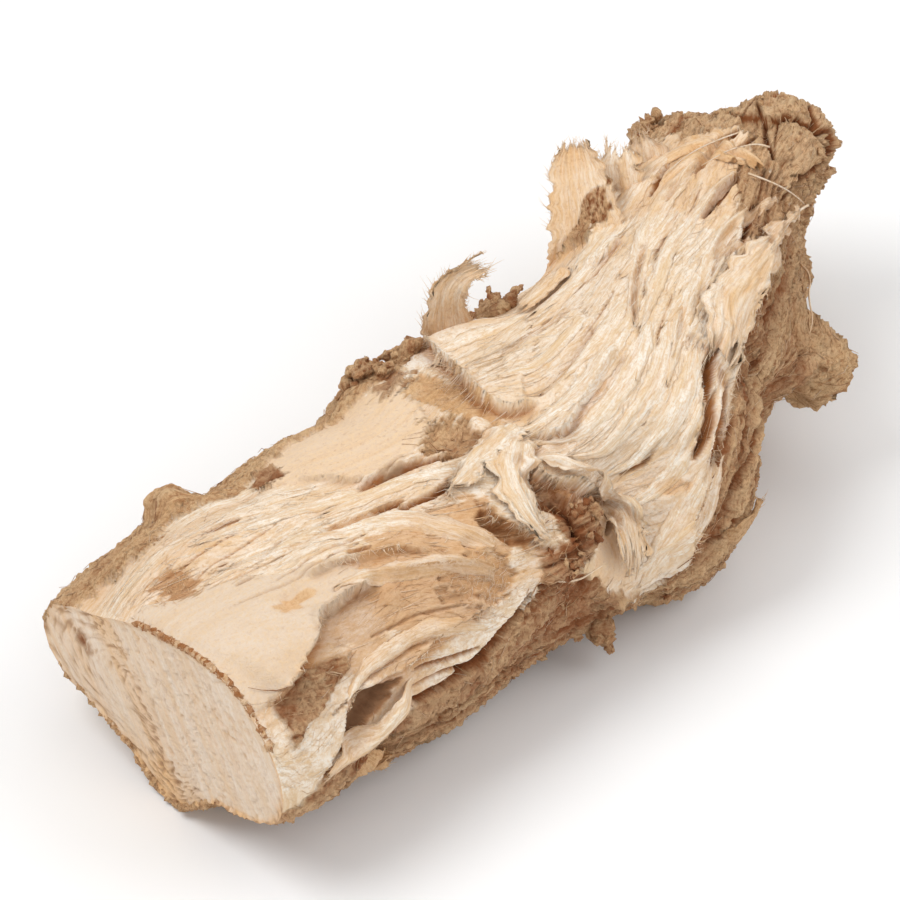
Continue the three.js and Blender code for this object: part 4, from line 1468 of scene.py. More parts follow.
TRUNK_PIECES = {"trunk_sawn_end": (0.0, 31.0), "trunk_bend": (31.0, 61.0), "trunk_growing_end": (61.0, TIP)}
TIP_CROWDING = 1.35  # above 1, the rows come closer together towards the tip


class RHIZOME_OT_trunk(bpy.types.Operator):
    """Builds the trunk, from the sawn end to the growing end"""

    bl_idname = "rhizome.trunk"
    bl_label = "Trunk"

    def execute(self, context):
        angles = columns_round()
        rows = context.scene.rhizome_sizes.trunk_rows
        material = root_material(context)
        for name, (start, end) in TRUNK_PIECES.items():
            share = np.linspace(0, 1, rows)
            if end == TIP:
                share = 1 - (1 - share) ** TIP_CROWDING
            along, angle = np.meshgrid(start + (end - start) * share, angles, indexing="ij")
            here, _, _, _, look = detailed(along, angle)
            points, looks = here.reshape(-1, 3), {k: look[k] for k in LOOKS}
            lie = np.stack([look["lie_across"] * DEGREE, along, np.zeros_like(along)], -1).reshape(-1, 3)
            faces = [grid_faces(rows, len(angles), True)]
            if end == TIP:
                points, looks, lie, fan = close_end(points, looks, lie, len(angles))
                faces.append(fan)
            make_piece(name, points, faces, looks, lie, material)
        return {"FINISHED"}


SAWN_RINGS = 72
SAWN_MIDDLE = 11.5  # height of the middle that the rings close on
SAWN_RUN = (-7.5, -12.7)  # which way the fibres run on the sawn face: left, up
SAWN_BANDS = ((4.0, 1.5), (-3.0, 1.0))  # where the brown bands cross it, and how wide they are
SAWN_KNOT = (8.9, 12.4)  # the knot near the left edge: left, up


class RHIZOME_OT_sawn_face(bpy.types.Operator):
    """Builds the flat sawn face"""

    bl_idname = "rhizome.sawn_face"
    bl_label = "Sawn face"

    def execute(self, context):
        angles = columns_round()[::2]
        rim = detailed(np.zeros(len(angles)), angles)[0]
        middle = rim.mean(0)
        middle[2] = SAWN_MIDDLE
        share = np.linspace(1, 0.02, SAWN_RINGS)[:, None, None]
        face = middle + (rim[None] - middle) * share
        y, z = face[..., 1], face[..., 2]
        run = unit(np.array(SAWN_RUN))
        lie_along = y * run[0] + z * run[1]
        lie_across = y * run[1] - z * run[0]
        streak = noise(lie_across / 0.5, lie_along / 7, seed=71)
        streak = streak + 0.5 * noise(lie_across / 0.2, lie_along / 4, seed=72)
        broad = noise(lie_across / 2.4, lie_along / 16, seed=74)
        edge = 1 - share[..., 0]
        low = smooth(6.5, 3.0, z + 0.5 * layered(face, 1.4, 2, seed=76))
        rim_near = smooth(0.09, 0.0, edge + 0.03 * streak) * (0.3 + 0.7 * smooth(4, -4, y))
        inner = smooth(1.0, 0.95, share[..., 0])
        speck = np.clip(layered(face, 0.45, 3, seed=73) + 0.1, 0, 1)
        patches = layered(face, 3.5, 2, seed=75)
        knot_y, knot_z = y - SAWN_KNOT[0], z - SAWN_KNOT[1]
        knot = np.exp(-(knot_y**2 + knot_z**2) / 0.8)
        ring = np.exp(-((np.hypot(knot_y, knot_z) - 1.3) / 0.35) ** 2)
        face[..., 0] = CAD_LOW[0] / MM + inner * (
            0.16 + 0.03 * streak + 0.14 * broad + 0.2 * speck + 0.25 * low * speck + 0.25 * knot - 0.1 * ring)
        (at, wide), (at2, wide2) = SAWN_BANDS
        band = np.exp(-(((lie_across - at + 0.8 * patches) / wide) ** 2))
        band = band + 0.5 * np.exp(-(((lie_across - at2) / wide2) ** 2))
        tone = 0.05 + 0.25 * np.maximum(broad, 0) + 0.45 * band + 0.3 * low
        dark = (0.6 * band + 0.7 * low + 0.4 * smooth(3, 11, y) + 0.22) * speck
        dark = dark + 0.3 * rim_near * (0.3 + speck)
        # The knot is brown; the groove round it is darkened on one side only, a painted shade.
        knot_brown_and_ring_shade = np.maximum(0.7 * knot * (1 + 0.5 * streak), 0.5 * ring * smooth(9.6, 8.2, y))
        looks = {
            "tone": np.clip(tone + 0.5 * speck * (patches > 0) + 0.8 * rim_near, 0, 1),
            "dark": np.maximum(np.clip(dark, 0, 0.45), knot_brown_and_ring_shade),
            "bark": 0.9 * smooth(0.3, 0.6, knot),
            # Painted shade in the low streaks of the sawn face.
            "valley": np.clip(0.3 * np.maximum(-streak, 0), 0, 0.3),
            "calm": np.full(y.shape, 0.7),
            "grain": np.clip(speck, 0, 1),
        }
        lie = np.stack([lie_across, lie_along, np.zeros(y.shape)], -1)
        faces = grid_faces(SAWN_RINGS, len(angles), True)[:, ::-1]
        points, looks, lie, fan = close_end(
            face.reshape(-1, 3), looks, lie.reshape(-1, 3), len(angles))
        material = root_material(context, "sawn root", "sawn")
        make_piece("sawn_face", points, [faces, fan[:, [0, 2, 1]]], looks, lie, material)
        return {"FINISHED"}


# Torn sheets that lie on the trunk. Each knot is along, angle, half width, lift.
LOCKS = [
    # Over the top of the upper half.
    [(85, 92, 0.2, 0), (81, 73, 0.9, 0.3), (76.5, 64, 1.2, 0.4), (71, 63, 1.3, 0.35), (63, 64, 1.3, 0.3),
     (55.5, 65, 1.1, 0.3), (49.5, 64, 0.3, 0.25)],
    [(84.5, 104, 0.3, 0.2), (80.5, 87, 0.7, 0.5), (74.5, 80, 1.0, 0.45), (68.5, 78, 1.1, 0.4),
     (63.5, 82, 1.0, 0.4), (57, 95, 0.6, 0.35), (54, 104, 0.1, 0.3)],
    [(81, 108, 0.2, 0), (75, 98, 0.6, 0.35), (69, 93, 0.8, 0.3), (64.5, 92, 0.9, 0.3), (60.5, 96, 0.8, 0.3),
     (56.5, 102, 0.5, 0.3), (53.5, 106, 0.1, 0.2)],
    # Into the crease, and beside the leaf on the right edge.
    [(59.5, 93, 0.3, 0), (51.5, 103, 0.9, 0.3), (47.5, 108, 1.0, 0.35), (44, 109, 0.8, 0.35),
     (40.5, 107, 0.5, 0.4), (38.6, 100, 0.1, 0.45)],
    [(58, 101, 0.3, 0), (52.5, 111, 0.8, 0.3), (48.5, 117, 0.9, 0.3), (45, 120, 0.8, 0.3),
     (41.5, 119, 0.4, 0.35), (39, 112, 0.1, 0.4)],
    [(60, 104, 0.3, 0), (55, 115, 0.8, 0.3), (51, 123, 1.0, 0.3), (48, 127, 0.9, 0.3),
     (44.5, 130, 0.6, 0.25), (40.5, 125, 0.1, 0.2)],
    [(58.5, 118, 0.3, 0), (54, 127, 0.8, 0.3), (51, 133, 1.0, 0.3), (48.5, 138, 0.9, 0.25),
     (46, 140, 0.5, 0.2), (42.5, 137, 0.1, 0.1)],
    [(55.5, 134, 0.3, 0), (52, 140, 0.8, 0.3), (50, 147, 0.9, 0.3), (48, 154, 0.8, 0.2),
     (45.5, 155, 0.5, 0.2), (43, 150, 0.1, 0.1)],
    [(53, 149, 0.3, 0), (51, 159, 0.8, 0.3), (49.5, 170, 0.8, 0.3), (47, 176, 0.7, 0.2), (44, 179, 0.4, 0.2),
     (42, 177, 0.1, 0.1)],
    [(80.5, 132, 0.2, 0.2), (75.5, 120, 0.6, 0.5), (70.5, 110, 0.8, 0.4), (66.5, 108, 0.8, 0.35),
     (62.5, 110, 0.6, 0.3), (58.5, 114, 0.1, 0.3)],
    [(65, 106, 0.5, 0), (60, 111, 0.8, 0.4), (56.5, 115, 0.7, 0.5), (53.6, 120, 0.2, 0.5)],
    [(84, 54, 0.4, 0.2), (79.5, 49, 0.8, 0.4), (74, 52, 0.9, 0.35), (68.5, 56, 0.8, 0.3),
     (62.5, 61, 0.6, 0.25), (58, 63, 0.1, 0.2)],
    # Over the edge of the crown.
    [(83, 74, 0.8, 0.1), (82.6, 86, 1.1, 0.5), (80.6, 97, 0.9, 0.6), (80.6, 108, 0.3, 0.7)],
    [(83.5, 62, 0.8, 0.1), (81, 76, 1.0, 0.5), (79.6, 91, 0.8, 0.6), (80, 107, 0.2, 0.8)],
    [(75.5, 62, 0.4, 0.2), (78.6, 68, 0.9, 0.8), (80.8, 78, 0.9, 1.2), (81, 91, 0.8, 1.5),
     (80.2, 104, 0.6, 1.8), (79.2, 115, 0.1, 1.9)],
    [(72.5, 70, 0.4, 0.2), (76, 74, 0.8, 0.7), (78.6, 82, 0.8, 1.1), (79.2, 92, 0.6, 1.4),
     (78.6, 102, 0.1, 1.6)],
    # The lower half.
    [(35, 116, 0.4, 0.1), (32, 107, 0.8, 0.4), (28, 98, 0.8, 0.45), (23.5, 90, 0.8, 0.4),
     (19, 82, 0.7, 0.35), (15, 75, 0.6, 0.3), (11.5, 68, 0.4, 0.25), (8.6, 62, 0.1, 0.2)],
    [(31.5, 145, 0.3, 0.1), (29, 134, 0.9, 0.5), (26.5, 123, 1.2, 0.6), (23.5, 111, 1.3, 0.6),
     (19.5, 102, 1.2, 0.5), (15.5, 95, 1.0, 0.4), (11.5, 88, 0.6, 0.35), (7.6, 80, 0.1, 0.2)],
    [(30, 150, 0.3, 0.1), (27, 139, 0.7, 0.5), (23, 130, 0.8, 0.5), (18.5, 124, 0.7, 0.45),
     (15.5, 121, 0.5, 0.4), (13, 120, 0.1, 0.3)],
    [(28, 162, 0.2, 0.1), (23.5, 153, 0.6, 0.4), (19.5, 146, 0.8, 0.4), (15, 145, 0.8, 0.4),
     (11.5, 146, 0.6, 0.3), (8.6, 151, 0.1, 0.2)],
]
CROWN_LOCKS = range(12, 16)  # the tanned rows of LOCKS, over the edge of the crown

# Lying sheets with looks of their own: knots, then settings.
SHEETS = {
    "leaf": ([(77.8, 135, 0.12, 1.3), (74.6, 130, 0.5, 1.4), (71.5, 126.5, 0.9, 1.4),
     (68.2, 124.5, 1.3, 1.3), (65, 123.5, 1.9, 1.1), (61.5, 124, 2.3, 0.9), (58.5, 128, 1.9, 0.7),
     (55.6, 134, 0.7, 0.5)], dict(tone=0.12, fray=2.6, ragged=0.45, camber=0.28, thick=0.16, tuck=-1.2,
     ridges=0.2, wave=0.3)),
    "yellow flap": ([(43.4, 148, 0.8, 0.3), (44.2, 155, 1.8, 0.9), (43.4, 163, 2.5, 1.2),
     (42.4, 169, 2.4, 1.3), (41.4, 175, 1.6, 1.2)], dict(tone=0.05, fray=2.2, ragged=0.7, camber=0.25,
     thick=0.12, curl=0.3, ridges=0.06, wave=0.4)),
    "paddle": ([(16.6, 159.2, 0.4, 0.5), (14.8, 161.6, 0.75, 1.2), (12.4, 163.8, 0.8, 1.3),
     (9.8, 165.4, 0.75, 1.2), (7, 166.4, 0.6, 0.9), (4.4, 168, 0.3, 0.5)], dict(tone=0.35, fray=0.3,
     ragged=0.05, camber=0.4, thick=0.24, tuck=0.0)),
    "crease tuft": ([(41.5, 100, 0.8, 0.1), (39.2, 104, 1.3, 0.4), (36.4, 106, 1.4, 0.55),
     (33.6, 108, 1.3, 0.6), (31, 110.5, 1.0, 0.6), (28.4, 113, 0.4, 0.4)], dict(tone=0.12, fray=2.6,
     ragged=0.5, camber=0.25, thick=0.12, tuck=0.6, ridges=0.12, wave=0.1)),
    "crease band": ([(40, 107, 0.8, 0.1), (37.4, 111.5, 1.6, 0.4), (35.4, 117, 1.9, 0.5),
     (34.2, 124, 1.8, 0.5), (33.6, 131, 1.5, 0.5), (33.6, 138, 1.0, 0.45), (34.2, 144, 0.4, 0.3)],
     dict(tone=0.08, fray=2.0, ragged=0.5, camber=0.3, thick=0.12, tuck=0.6, ridges=0.1, wave=0.08)),
    "upper crease lip": ([(37.6, 117, 0.5, 0.3), (39, 124, 0.9, 1.1), (40.6, 133, 1.0, 1.2),
     (42.4, 142, 0.8, 1.1), (44.4, 150, 0.4, 0.9)], dict(tone=0.25, fray=1.2, ragged=0.35, camber=0.2,
     thick=0.14, wave=0.5)),
    "frayed piece below the lobe": ([(60, 52, 1.2, 0.1), (57, 56, 1.6, 0.5), (54, 58, 1.3, 0.5),
     (51, 58, 0.5, 0.4)], dict(tone=0.45, fray=1.2, ragged=0.25)),
    "low flake": ([(9.4, 176, 1.2, 0.1), (10.4, 182, 1.7, 0.7), (11.8, 188, 1.9, 1.4), (13.2, 193, 1.6, 1.9),
     (14.2, 196, 1.0, 2.0)], dict(tone=1.0, bark=0.5, dark=0.1, fray=0.1, ragged=0.06, camber=0.3,
     thick=0.35)),
    "flank flake": ([(50.8, 181, 0.6, 0.2), (52.2, 180, 0.9, 0.5), (53.6, 178.5, 0.8, 0.9),
     (54.8, 177, 0.3, 1.1)], dict(bark=1.0, tone=0.8, dark=0.14, fray=0.6, ragged=0.3, thick=0.5)),
}

# Sheets that stand up: foot, the way they face (ahead, out, round), knots of half
# width and place (ahead, out, round), settings.
STANDING = {
    "curled flap": ((45, 38), (-0.45, 0.08, 0.87), [(3.0, 1.2, -2.7, -2.5), (2.7, 1.1, -0.5, -1.2),
     (1.9, 1.1, 1.7, 0.9), (1.6, 1.6, 3.2, 2.6), (1.3, 2.3, 3.8, 4.1), (1.1, 3.2, 3.8, 4.8),
     (0.9, 4.7, 3.6, 5.3)], dict(tone=0.35, fray=1.4, ragged=0.3, thick=0.45)),
    "tall lobe": ((62, 58), (-0.52, 0.62, 0.57), [(4.2, 0.9, -4.1, -0.9), (3.8, 1.7, -1.4, -0.5),
     (3.2, 3.7, 1.0, -1.2), (2.8, 5.5, 2.6, -2.1), (2.5, 7.5, 3.6, -3.2), (1.4, 9.5, 4.7, -4.2)],
     dict(tone=0.5, fray=0.8, ragged=0.3, thick=0.6, graze=(6.2, 0.5, 2.9, 1.3, 0.6))),
    "frill behind the lobe": ((72, 52), (-0.69, 0.38, 0.54), [(2.2, 0.1, -2.5, 1.1), (2.2, 0.7, -0.2, 1.2),
     (1.8, 2.0, 1.8, 1.0), (0.9, 3.7, 3.3, 0.8)], dict(tone=0.25, fray=1.8, ragged=0.45, thick=0.35)),
    "frill by the crown": ((78, 46), (-0.67, 0.29, 0.63), [(1.5, -0.1, -1.8, 1.7), (1.6, 0.6, 0.5, 2.2),
     (0.8, 1.3, 2.1, 2.2)], dict(tone=0.3, fray=1.4, ragged=0.45, thick=0.3)),
    "frill between": ((69, 50), (-0.6, 0.41, 0.63), [(1.8, 0, -3.2, -0.1), (1.9, 1.7, -1.0, 0.2),
     (1.6, 3.2, 0.8, 0.3), (0.6, 5.0, 2.1, 0.1)], dict(tone=0.3, fray=1.6, ragged=0.45, thick=0.3)),
}

# Torn edges that carry a fringe of short threads: the line, the free side (as in
# SHEET_EDGES), spacing, length, spread in radians, lift.
FRINGES = [
    ([(37, 104), (33, 106), (30.5, 109), (28.5, 115)], 1, 0.07, 1.5, 0.8, 0.7),
    ([(36.5, 117), (37.5, 129), (40.5, 138), (44, 149), (45.5, 160)], -1, 0.16, 0.5, 0.9, 0.15),
    ([(31, 121), (30.5, 128), (32.5, 136), (33.5, 144)], -1, 0.14, 0.5, 0.9, 0.15),
    ([(44, 33), (41.5, 52), (41, 64)], -1, 0.1, 1.5, 0.8, 0.4),
    ([(14, 112), (16.5, 114), (18.5, 116), (21.5, 120)], -1, 0.16, 0.8, 0.8, 0.3),
    ([(3, 137), (6.5, 134), (9, 129), (11.5, 124), (14, 123), (17.5, 125)], -1, 0.3, 0.5, 0.8, 0.2),
    ([(77.5, 134), (72, 126), (68, 125), (62.5, 132), (56, 141)], 1, 0.12, 0.8, 1.2, 0.15),
    ([(56, 141), (52, 152), (49.5, 167), (48, 183), (44, 195)], 1, 0.14, 0.8, 1.2, 0.15),
    ([(6.5, 164), (9, 156), (10.5, 150)], -1, 0.12, 0.9, 0.7, 0.2),
    ([(28, 152), (22, 151), (16, 152)], 1, 0.2, 0.8, 0.8, 0.2),
    ([(0.6, 60), (0.4, 90), (0.4, 120), (0.6, 150)], 1, 0.5, 0.5, 0.8, 0.1),
]

# Clusters of curly hairs: centre, reach, count, length, lift, tone, darkness.
TANGLES = [
    ((26, 141), 1.5, 170, 1.1, 0.5, 0.5, 0.03),
    ((28, 149), 0.9, 70, 1.1, 0.5, 0.3, 0.0),
    ((39, 66), 1.4, 90, 1.1, 0.6, 0.9, 0.1),
    ((37, 128), 1.0, 60, 0.8, 0.4, 0.8, 0.2),
    ((38, 146), 1.4, 80, 0.7, 0.3, 0.9, 0.3),
    ((33.6, 160), 1.8, 60, 0.8, 0.3, 0.8, 0.25),
    ((5, 70), 1.6, 100, 0.8, 0.25, 0.9, 0.08),
    ((50.5, 40), 1.5, 40, 1.2, 0.8, 0.9, 0.25),
    ((38, 30), 2.2, 50, 1.0, 0.6, 0.9, 0.25),
    ((73, 128), 2.6, 60, 1.6, 0.5, 0.8, 0.15),
    ((70, 46), 2.0, 40, 1.2, 0.4, 0.8, 0.12),
]

# Single long threads: places of along, angle and lift, radius, tone, darkness.
THREADS = [
    ([(77.5, 107, 0.6), (77.6, 116, 1.0), (77.8, 126, 1.5), (78, 136, 1.9)], 0.16, 0.35, 0.0),
    ([(78, 136, 1.9), (76, 132, 1.6), (73, 127, 1.3), (70.5, 122, 1.0)], 0.15, 0.35, 0.0),
    ([(76, 160, 0.2), (75, 162, 1.6), (73, 163, 2.2), (70.4, 164, 1.6), (69, 163, 0.4)], 0.17, 0.7, 0.05),
    ([(32.5, 157, 0.4), (34.7, 158, 1.1), (37, 160.5, 1.3), (39.2, 164, 1.1)], 0.17, 0.5, 0.0),
    ([(51.6, 155, 0.2), (51.2, 161, 0.9), (52, 168, 1.3), (54, 177, 1.2)], 0.16, 0.3, 0.0),
    ([(83, 112, 0.8), (82.4, 104, 1.0), (80, 94, 0.9), (76, 86, 0.6)], 0.12, 0.3, 0.0),
    ([(84, 96, 0.6), (82, 88, 0.9), (78.6, 78, 0.7), (74, 72, 0.4)], 0.12, 0.3, 0.0),
]


# First seed of each kind of sheet, and the step to the next sheet's.
LOCK_SEED, SHEET_SEED, STANDING_SEED, SMALL_LOCK_SEED, SEED_STEP = 100, 500, 800, 1100, 13

# Threads past the ends and sides of the lying and the standing sheets: length, radius.
LYING_HAIRS = ((0.35, 0.045), (0.5, 0.04), (0.9, 0.03))
STANDING_HAIRS = ((0.4, 0.05), (0.7, 0.04), (1.1, 0.035))


def small_lock(rng):
    """Knots of a short lock that follows the fibres on a peeled place, or None."""
    along, angle = rng.uniform(12, 82), rng.uniform(52, 185)
    length = rng.uniform(7, 16)
    a, b = trace(np.array([along]), np.array([angle]), np.array([length]), 7, 0.05, rng)
    look = relief(a[0], b[0])
    if look["bark"].max() > 0.4 or look["calm"].max() > 0.5 or a.min() < 2:
        return None
    wide = rng.uniform(0.4, 1.0)
    widths = wide * np.sin(np.pi * np.linspace(0.08, 0.97, 7)) ** 0.8
    lift = rng.uniform(0.04, 0.16)
    return [(x, y, w, lift) for x, y, w in zip(a[0], b[0], widths)]


class RHIZOME_OT_torn_sheets(bpy.types.Operator):
    """Builds the torn sheets and locks of fibre, with the threads at their ends"""

    bl_idname = "rhizome.torn_sheets"
    bl_label = "Torn sheets"

    def execute(self, context):
        sizes = context.scene.rhizome_sizes
        rng = np.random.default_rng(11)
        locks, sheets, hairs = Heap(), Heap(), Heap()
        for i, knots in enumerate(LOCKS):
            knots = [(a, b, w, sizes.lock_lift * lift) for a, b, w, lift in knots]
            made = lying_sheet(
                locks, knots, LOCK_SEED + SEED_STEP * i, fray=1.6, tone=0.4 if i in CROWN_LOCKS else 0.03,
                thick=sizes.lock_thickness, camber=0.10, ridges=0.06, hug=0.9, wave=0.08)
            tip_hairs(hairs, rng, *made, chance=0.1, size=0.9, radius=0.03, tone=0.2)
        for i in range(sizes.small_locks):
            knots = small_lock(rng)
            if knots is None:
                continue
            made = lying_sheet(
                locks, knots, SMALL_LOCK_SEED + SEED_STEP * i, fray=1.2, tone=rng.uniform(0, 0.25),
                thick=0.1, camber=0.08, ridges=0.05, hug=0.9, step=0.4)
            tip_hairs(hairs, rng, *made, chance=0.1, size=0.8, radius=0.035, tone=0.2)
        for i, (knots, settings) in enumerate(SHEETS.values()):
            made = lying_sheet(sheets, knots, SHEET_SEED + SEED_STEP * i, step=FINE_STEP, **settings)
            for size, radius in LYING_HAIRS:
                tip_hairs(hairs, rng, *made, chance=0.65, size=size, radius=radius,
                          tone=settings.get("tone", 0.2))
        for i, (foot, facing, knots, settings) in enumerate(STANDING.values()):
            made = standing_sheet(sheets, foot, facing, knots, STANDING_SEED + SEED_STEP * i, **settings)
            for size, radius in STANDING_HAIRS:
                tip_hairs(hairs, rng, *made, chance=0.8, size=size, radius=radius, tone=0.35)
        material = root_material(context)
        locks.make("fibre_locks", material)
        sheets.make("torn_sheets", material)
        hairs.make("sheet_threads", material)
        return {"FINISHED"}


class RHIZOME_OT_loose_fibres(bpy.types.Operator):
    """Builds the loose threads on the trunk, the fringes and the tangles"""

    bl_idname = "rhizome.loose_fibres"
    bl_label = "Loose fibres"

    def execute(self, context):
        sizes = context.scene.rhizome_sizes
        material = root_material(context)
        rng = np.random.default_rng(5)
        lying = Heap()
        count = sizes.lying_threads
        along = rng.uniform(2, 86, count)
        angle = rng.uniform(40, 200, count)
        look = relief(along, angle)
        peeled = (look["bark"] < 0.5) & (look["calm"] < 0.5)
        along, angle = along[peeled], angle[peeled]
        count = len(along)
        surface_strands(
            lying, rng, along, angle, lengths=rng.uniform(3, 12, count),
            lifts=rng.uniform(-0.03, 0.03, count), radii=rng.uniform(0.02, 0.05, count))
        peeled_fuzz(lying, rng, sizes.peeled_fuzz)
        lying.make("lying_fibres", material)
        fine = Heap()
        for edge in FRINGES:
            fringe(fine, rng, *edge)
        for tangle in TANGLES:
            curls(fine, rng, *tangle)
        bark_fuzz(fine, rng, sizes.bark_fuzz)
        for line, radius, tone, dark in THREADS:
            path = smooth_path([(*p, 0) for p in line])[:, :3]
            path = path[:: max(1, len(path) // 14)]
            here, _, _, out = trunk_frame(path[:, 0], path[:, 1])
            ground = relief(path[:, 0], path[:, 1], here)["height"]
            level = np.linspace(ground[0], ground[-1], len(path)) + path[:, 2]
            places = (here + out * level[:, None])[None]
            width = radius * np.linspace(1, 0.35, len(path))[None]
            add_strands(fine, places, width, out[None], {"tone": tone, "dark": dark})
        fine.make("fringes_and_tangles", material)
        return {"FINISHED"}


# Clusters of bark crumbs: centre, reach, count, size, lift, darkness.
CRUMBS = [
    ((36.4, 31), 0.8, 14, 1.1, 0.5, 0.12),
    ((41.8, 29), 0.9, 10, 1.0, 0.5, 0.12),
    ((36.6, 31), 1.0, 50, 0.45, 0.9, 0.15),
    ((38.6, 30), 1.3, 50, 0.38, 0.8, 0.12),
    ((42.0, 28), 1.1, 30, 0.45, 0.8, 0.15),
    ((84.5, 40), 0.8, 16, 0.5, 0.9, 0.2),
    ((38.4, 145), 1.0, 16, 0.5, 0.3, 0.4),
    ((34.8, 154), 1.0, 16, 0.5, 0.2, 0.4),
    ((88, 110), 4.5, 30, 0.32, 0.0, 0.1),
    ((89, 180), 5.0, 30, 0.32, 0.0, 0.1),
    ((88, 60), 4.0, 30, 0.32, 0.0, 0.1),
    ((58, 170), 6.0, 30, 0.3, 0.0, 0.2),
    ((42, 208), 3.0, 30, 0.4, 0.1, 0.2),
    ((28, 200), 7.0, 30, 0.3, 0.0, 0.2),
    ((18, 36), 8.0, 30, 0.3, 0.0, 0.1),
]

# Crust of crumbs round the sawn face: first and last angle, count, size, darkness, bark.
CRUST = [
    (70, 150, 260, 0.27, 0.42, 0.25),
    (225, 345, 170, 0.34, 0.1, 1.0),
    (345, 385, 60, 0.26, 0.1, 1.0),
]

# Stubs of torn bark that stick out: foot, then their tips (ahead, out, round), thickness.
STUBS = [
    ((51, 42), [(0.2, -0.2, -3.6), (0.8, 1.6, -2.1), (1.6, 2.4, -1.4), (1.8, 1.6, -0.7), (2.0, 1.1, 0.6),
     (3.3, 1.5, 1.1), (1.3, 0.4, -1.8), (0.4, 1.0, -3.8), (2.6, 1.0, 0.2)], 0.8),
    ((41, 206), [(0.0, 2.6, 0.6), (0.6, 1.8, 1.2), (-0.6, 1.4, 0.2)], 0.9),
]


def ball(fineness):
    """Corners and triangles of a round ball."""
    bm = bmesh.new()
    bmesh.ops.create_icosphere(bm, subdivisions=fineness, radius=1.0)
    corners = np.array([v.co[:] for v in bm.verts])
    tris = np.array([[v.index for v in f.verts] for f in bm.faces])
    bm.free()
    return corners, tris


def add_crumb(heap, shape, centre, axes, dark, number, bark=1.0):
    """A rough crumb: a ball with lumps, stretched along three axes."""
    corners, tris = shape
    lumps = layered(corners + number * 7.7, 0.95, 4, seed=3)
    fine = layered(corners + number * 3.1, 0.33, 2, seed=4)
    points = centre + (corners * (1 + 0.7 * lumps + 0.3 * fine)[:, None]) @ axes
    points[:, 2] = settle(points[:, 2])
    shade = dark * (0.7 + 0.6 * scatter(number, 1, 2, 9))
    # Painted shade in the dents of the crumb.
    shade = shade + 0.30 * smooth(0.1, 0.7, -lumps) + 0.2 * smooth(0.1, 0.6, -fine)
    looks = {"bark": bark, "tone": 0.7, "dark": np.clip(shade, 0, 1), "grain": np.clip(0.5 + fine, 0, 1)}
    heap.add(points, [], tris, looks, corners * (1, 3, 1) + number)


class RHIZOME_OT_bark_crumbs(bpy.types.Operator):
    """Builds the crumbs and stubs of bark"""

    bl_idname = "rhizome.bark_crumbs"
    bl_label = "Bark crumbs"

    def execute(self, context):
        scale = context.scene.rhizome_sizes.crumb_scale
        rng = np.random.default_rng(23)
        heap = Heap()
        plain, lumpy = ball(1), ball(2)
        number = 0
        for centre, reach, count, size, lift, dark in CRUMBS:
            along = np.clip(centre[0] + rng.normal(0, reach, count), 0.8, TIP - 1.5)
            angle = centre[1] + rng.normal(0, reach, count) / DEGREE
            here, ahead, around, out, look = detailed(along, angle)
            for i in range(count):
                big = scale * size * rng.uniform(0.5, 1.3)
                turn = rng.uniform(0, 2 * np.pi)
                high = lift * rng.uniform(0, 1) * 1.6 - 0.25 * big
                stretch = rng.uniform(0.5, 1.5, 3) * (1, 1, 0.75) * big
                if look["bark"][i] < 0.3:
                    continue
                x = ahead[i] * np.cos(turn) + around[i] * np.sin(turn)
                y = ahead[i] * np.sin(turn) - around[i] * np.cos(turn)
                axes = np.stack([x, y, out[i]]) * stretch[:, None]
                number += 1
                add_crumb(heap, lumpy, here[i] + out[i] * high, axes, dark, number)
        for start, end, count, size, dark, bark in CRUST:
            angle = np.sort(rng.uniform(start, end, count))
            here, ahead, around, out, _ = detailed(np.full(count, 0.25), angle)
            for i in range(count):
                axes = np.stack([around[i] * 1.3, ahead[i], out[i]]) * scale * size * rng.uniform(0.5, 1.3)
                number += 1
                add_crumb(heap, plain, here[i] - out[i] * 0.4 * size, axes, dark, number, bark)
        for foot, tips, thick in STUBS:
            here, ahead, around, out, _ = detailed(np.array([foot[0]]), np.array([foot[1]]))
            here, basis = here[0], np.stack([ahead[0], out[0], around[0]])
            for tip in tips:
                reach = np.array(tip) @ basis
                head = unit(reach)
                side = unit(np.cross(head, basis[0] + 0.3 * basis[2]))
                for share in np.linspace(0.1, 0.95, 7):
                    wide = thick * (1.15 - 0.85 * share)
                    axes = np.stack([head * (wide + 0.15), side * wide, np.cross(head, side) * wide])
                    spot = here + reach * share + 0.25 * wide * rng.normal(0, 1, 3)
                    number += 1
                    add_crumb(heap, lumpy, spot, axes, 0.25, number)
        heap.make("bark_crumbs", root_material(context))
        return {"FINISHED"}


WHITE_POWER = math.pi**2  # watts per square metre of distance that make white just white
FLOOR_REACH = 40  # from the piece to the floor's edge, in lengths of the piece
LIGHT_REACH = 3  # unit of the lights' places and sizes, in lengths of the piece

# Place, size and power of each light.
LIGHTS = {
    "key": ((-0.8, 0.5, 1.5), 1.1, 0.50),
    "fill": ((-0.9, -1.4, 0.9), 1.5, 0.12),
    "side": ((1.0, -0.9, 1.2), 1.5, 0.33),
    "top": ((0.5, 0.3, 1.9), 1.6, 0.16),
}
SENSOR = 36.0
CAMERA_AIM = (-5.446, 4.585, 12.0)  # millimetres
FRAME_WIDTH = 83.2  # millimetres that the view spans at the aim


